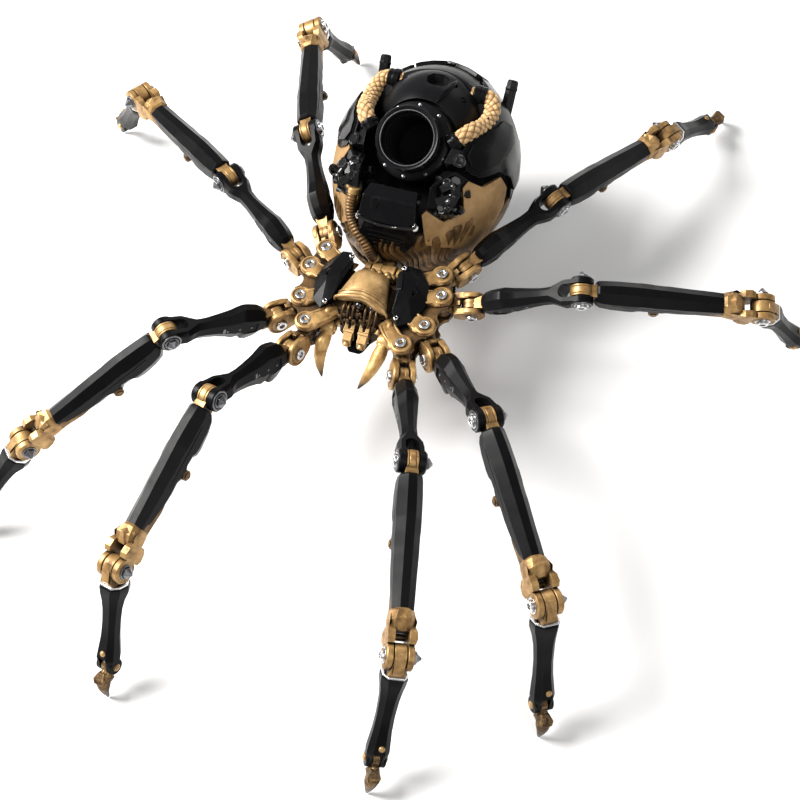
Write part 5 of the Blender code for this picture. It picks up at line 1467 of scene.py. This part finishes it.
# engine clusters
def engine_parts(side, seed):
    rnd = random.Random(seed)
    core = hull([(side * x, y, z) for x, y, z in
                 [(16.5, 42, 93), (16.5, 37, 84), (17, 39, 76), (26, 44, 75), (30.5, 53, 78), (31.0, 57, 84), (25, 54, 92.5), (18, 55, 90), (22, 39, 85)]])
    parts = [core]
    bits = []
    for k in range(34):
        p = Vector((side * rnd.uniform(16.5, 28.0), rnd.uniform(37.0, 56.0), rnd.uniform(76.0, 92.0)))
        c = Vector((side * 22.0, 48.0, 82.0))
        d = (p - c).normalized()
        d = (d + Vector((side * 0.25, -0.75, 0.4))).normalized()
        p = c + d * rnd.uniform(7.5, 10.5)
        kind = k % 4
        if kind == 0:
            bits.append(rod(p - d * 3.2, p + d * rnd.uniform(0.6, 1.6), rnd.uniform(1.3, 2.4), 6, None, 0.3))
        elif kind == 1:
            r = rnd.uniform(1.4, 2.6)
            bits.append(turned([(r * 0.8, -2.5), (r, -2.0), (r, 0.2), (r * 0.8, 0.6), (r * 0.8, 0.9), (r * 0.55, 1.1), (r * 0.5, 0.5)], p, d, 20))
        elif kind == 2:
            t = Vector((rnd.uniform(-1, 1), rnd.uniform(-1, 1), rnd.uniform(-1, 1)))
            t = (t - d * t.dot(d)).normalized()
            b = d.cross(t)
            w, l, h = rnd.uniform(1.2, 2.4), rnd.uniform(2.0, 4.0), rnd.uniform(0.8, 2.2)
            bits.append(hull([p + t * (sx * l * (0.75 if top else 1)) + b * (sy * w * (0.7 if top else 1)) + d * (h if top else -2.5) for sx in (-1, 1) for sy in (-1, 1) for top in (0, 1)]))
        else:
            q = p + Vector((rnd.uniform(-6, 6), rnd.uniform(-4, 4), rnd.uniform(-5, 5)))
            dq = (q - c).normalized()
            q = c + dq * rnd.uniform(8.0, 9.5)
            bits.append(sweep([p - d * 1.0, p + d * 0.9, (p + q) / 2 + (d + dq).normalized() * 2.0, q + dq * 0.9, q - dq * 1.0], rnd.uniform(0.7, 1.2), 12, 30))
    # bracket that rises from the cluster to the hose socket
    bits.append(hull([(side * x, y, z) for x, y, z in ((19.0, 55.0, 96.0), (25.5, 57.0, 93.0), (26.5, 65.0, 93.5), (20.5, 65.0, 97.8), (20.0, 56.0, 89.0), (27.6, 60.0, 88.0), (22.0, 67.0, 90.0))]))
    bits.append(turned([(2.6, -1.5), (3.0, -1.0), (3.0, 0.6), (2.2, 1.1), (1.6, 0.7), (0.1, 0.6)], (side * 24.6, 58.5, 94.2), (side * 0.5, -0.35, 0.8), 24))
    return parts, bits


for name, s, seed in (("right", -1, 5), ("left", 1, 23)):
    core, bits = engine_parts(s, seed)
    put(f"engine_core_{name}", as_mesh(joined(*core), GLOSS_BLACK, 0.6, 3, 18), "abdomen", None, [f"engine_block_{name}"])
    put(f"engine_greebles_{name}", as_mesh(joined(*bits), WET_BLACK, 0.22, 2, 26), "abdomen")

# chin block: sloping upper plate, bright lip, upright lower plate
upper = hull([(sx * x, y, z) for sx in (-1, 1) for x, y, z in [(11.0, 41, 89), (12.5, 34, 88.4), (13.2, 29.0, 81.5), (9.5, 26.8, 80.0), (12.0, 43, 84), (12.0, 33, 79)]])
lower = hull([(sx * x, y, z) for sx in (-1, 1) for x, y, z in [(13.4, 28.2, 79.4), (13.0, 25.4, 71.0), (9.0, 25.2, 64.4), (10.0, 26.4, 79.2), (12.0, 38, 80), (11, 38, 65)]])
facet = hull([(x, y, z) for x, y, z in ((-8.6, 33.6, 88.4), (-4.0, 34.4, 88.7), (-4.8, 30.0, 84.9), (-8.2, 30.4, 84.2), (-6.4, 33.0, 85.0))])
put("chin_upper", as_mesh(joined(upper, facet), GLOSS_BLACK, 0.7, 4, 20), "abdomen", None, ["chin_block"])
slits = [block((-8.5, 20, 66.8 + 2.6 * k), (8.5, 26.6, 67.5 + 2.6 * k)) for k in range(4)]
put("chin_lower", as_mesh(cut(lower, *slits), GLOSS_BLACK, 0.45, 3, 20), "abdomen")
lip_pts = [(-13.4, 29.6, 81.0), (-12.8, 27.6, 80.4), (-6.0, 26.4, 79.9), (-3.8, 26.5, 79.2), (0.0, 26.6, 79.0), (3.8, 26.5, 79.2), (6.0, 26.4, 79.9), (12.8, 27.6, 80.4), (13.4, 29.6, 81.0)]
put("chin_lip", smooth_mesh(sweep(lip_pts, 0.75, 12, 90), WET_BLACK), "abdomen")
lugs = [turned([(1.3, -1.5), (1.6, -1.1), (1.6, 0.6), (1.2, 1.0), (0.2, 1.1)], (s * 13.2, 28.6, 79.6), (s * 0.6, -0.7, 0.3), 20) for s in (-1, 1)]
put("chin_lugs", as_mesh(joined(*lugs), STEEL, 0.1, 2, 30), "abdomen")

# neck knuckle and the gold lumps at the waist
neck = joined(turned([(3.7, -5.6), (4.3, -5.2), (4.3, -1.2), (3.9, -1.0), (3.9, 1.0), (4.3, 1.2), (4.3, 5.2), (3.7, 5.6)], (0, 19.4, 53.5), (1, 0, 0), 32),
              hull([(sx * x, y, z) for sx in (-1, 1) for x, y, z in ((2.9, 20.0, 51.6), (2.9, 20.0, 55.4), (2.9, 30.0, 51.6), (2.9, 30.0, 55.4), (3.6, 24.0, 52.6), (3.6, 24.0, 54.6))]))
put("neck_knuckle", as_mesh(neck, GOLD, 0.2, 2, 30), "abdomen", None, ["pedicel_knuckle"])
waist = []
for x, y, z, r in ((-6.6, 12.4, 61.6, 1.9), (-3.0, 13.6, 61.2, 1.7), (0.4, 13.9, 60.8, 1.5), (4.2, 13.6, 61.0, 1.7), (7.6, 12.2, 61.4, 1.6), (-4.8, 11.0, 63.4, 1.4), (6.0, 10.8, 63.0, 1.3)):
    waist.append(turned([(r * 0.75, -1.6), (r, -0.9), (r, 0.4), (r * 0.8, 0.9), (r * 0.35, 1.2), (0.1, 1.25)], (x, y, z), (0.1 * x, 0.2, 0.9), 20))
waist.append(rod((-7.5, 11.8, 60.0), (8.0, 11.8, 60.0), 1.9, 20))
put("waist_knuckles", as_mesh(joined(*waist), GOLD, 0.1, 2, 40), "thorax")

# ------------------------------------------------------------------ floor, light and camera
world = bpy.data.worlds.new("studio")
world.use_nodes = True
world.node_tree.nodes["Background"].inputs[0].default_value = (1.0, 1.0, 1.0, 1.0)
world.node_tree.nodes["Background"].inputs[1].default_value = 0.36
bpy.context.scene.world = world

floor_mat, nt, bsdf = tree("studio_floor")
bsdf.inputs["Roughness"].default_value = 0.9
bsdf.inputs["Base Color"].default_value = (0.86, 0.86, 0.86, 1.0)
bsdf.inputs["Specular IOR Level"].default_value = 0.1
bm = bmesh.new()
bmesh.ops.create_grid(bm, x_segments=8, y_segments=8, size=6.0)
me = bpy.data.meshes.new("floor")
bm.to_mesh(me)
bm.free()
me.materials.append(floor_mat)
floor = bpy.data.objects.new("floor", me)
floor.location = (0, 0, min(0.0, cad_lo.z) - 0.0002)
bpy.context.scene.collection.objects.link(floor)


def area(name, loc, target, size, power, color=(1, 1, 1)):
    light = bpy.data.lights.new(name, "AREA")
    light.shape = "RECTANGLE"
    light.size, light.size_y = size
    light.energy = power
    light.color = color
    o = bpy.data.objects.new(name, light)
    o.location = loc
    o.rotation_mode = "QUATERNION"
    o.rotation_quaternion = (Vector(target) - Vector(loc)).to_track_quat("-Z", "Y")
    bpy.context.scene.collection.objects.link(o)
    return o


area("key", (-0.75, -0.10, 0.80), (0.0, 0.0, 0.05), (0.55, 0.55), 29.0, (1.0, 0.985, 0.96))
area("fill", (0.7, -0.5, 0.9), (0, 0, 0.04), (0.8, 0.8), 4.0)
area("back", (0.1, 0.9, 0.6), (0, 0, 0.06), (0.9, 0.5), 2.0)
bpy.context.scene.view_settings.view_transform = "Standard"

cam_data = bpy.data.cameras.new("camera")
cam_data.lens = 75.5
cam_data.sensor_width = 36.0
cam_data.clip_start, cam_data.clip_end = 0.01, 50.0
cam = bpy.data.objects.new("camera", cam_data)
right, upv, fwd = Vector((0.93803, 0.33650, -0.08287)), Vector((-0.24167, 0.80656, 0.53950)), Vector((-0.24838, 0.48604, -0.83790))
m = Matrix.Identity(4)
for i in range(3):
    m[i][0], m[i][1], m[i][2] = right[i], upv[i], -fwd[i]
    m[i][3] = (Vector((208.188, -392.078, 656.147)) + SHIFT)[i] * MM
cam.matrix_world = m
bpy.context.scene.collection.objects.link(cam)
bpy.context.scene.camera = cam
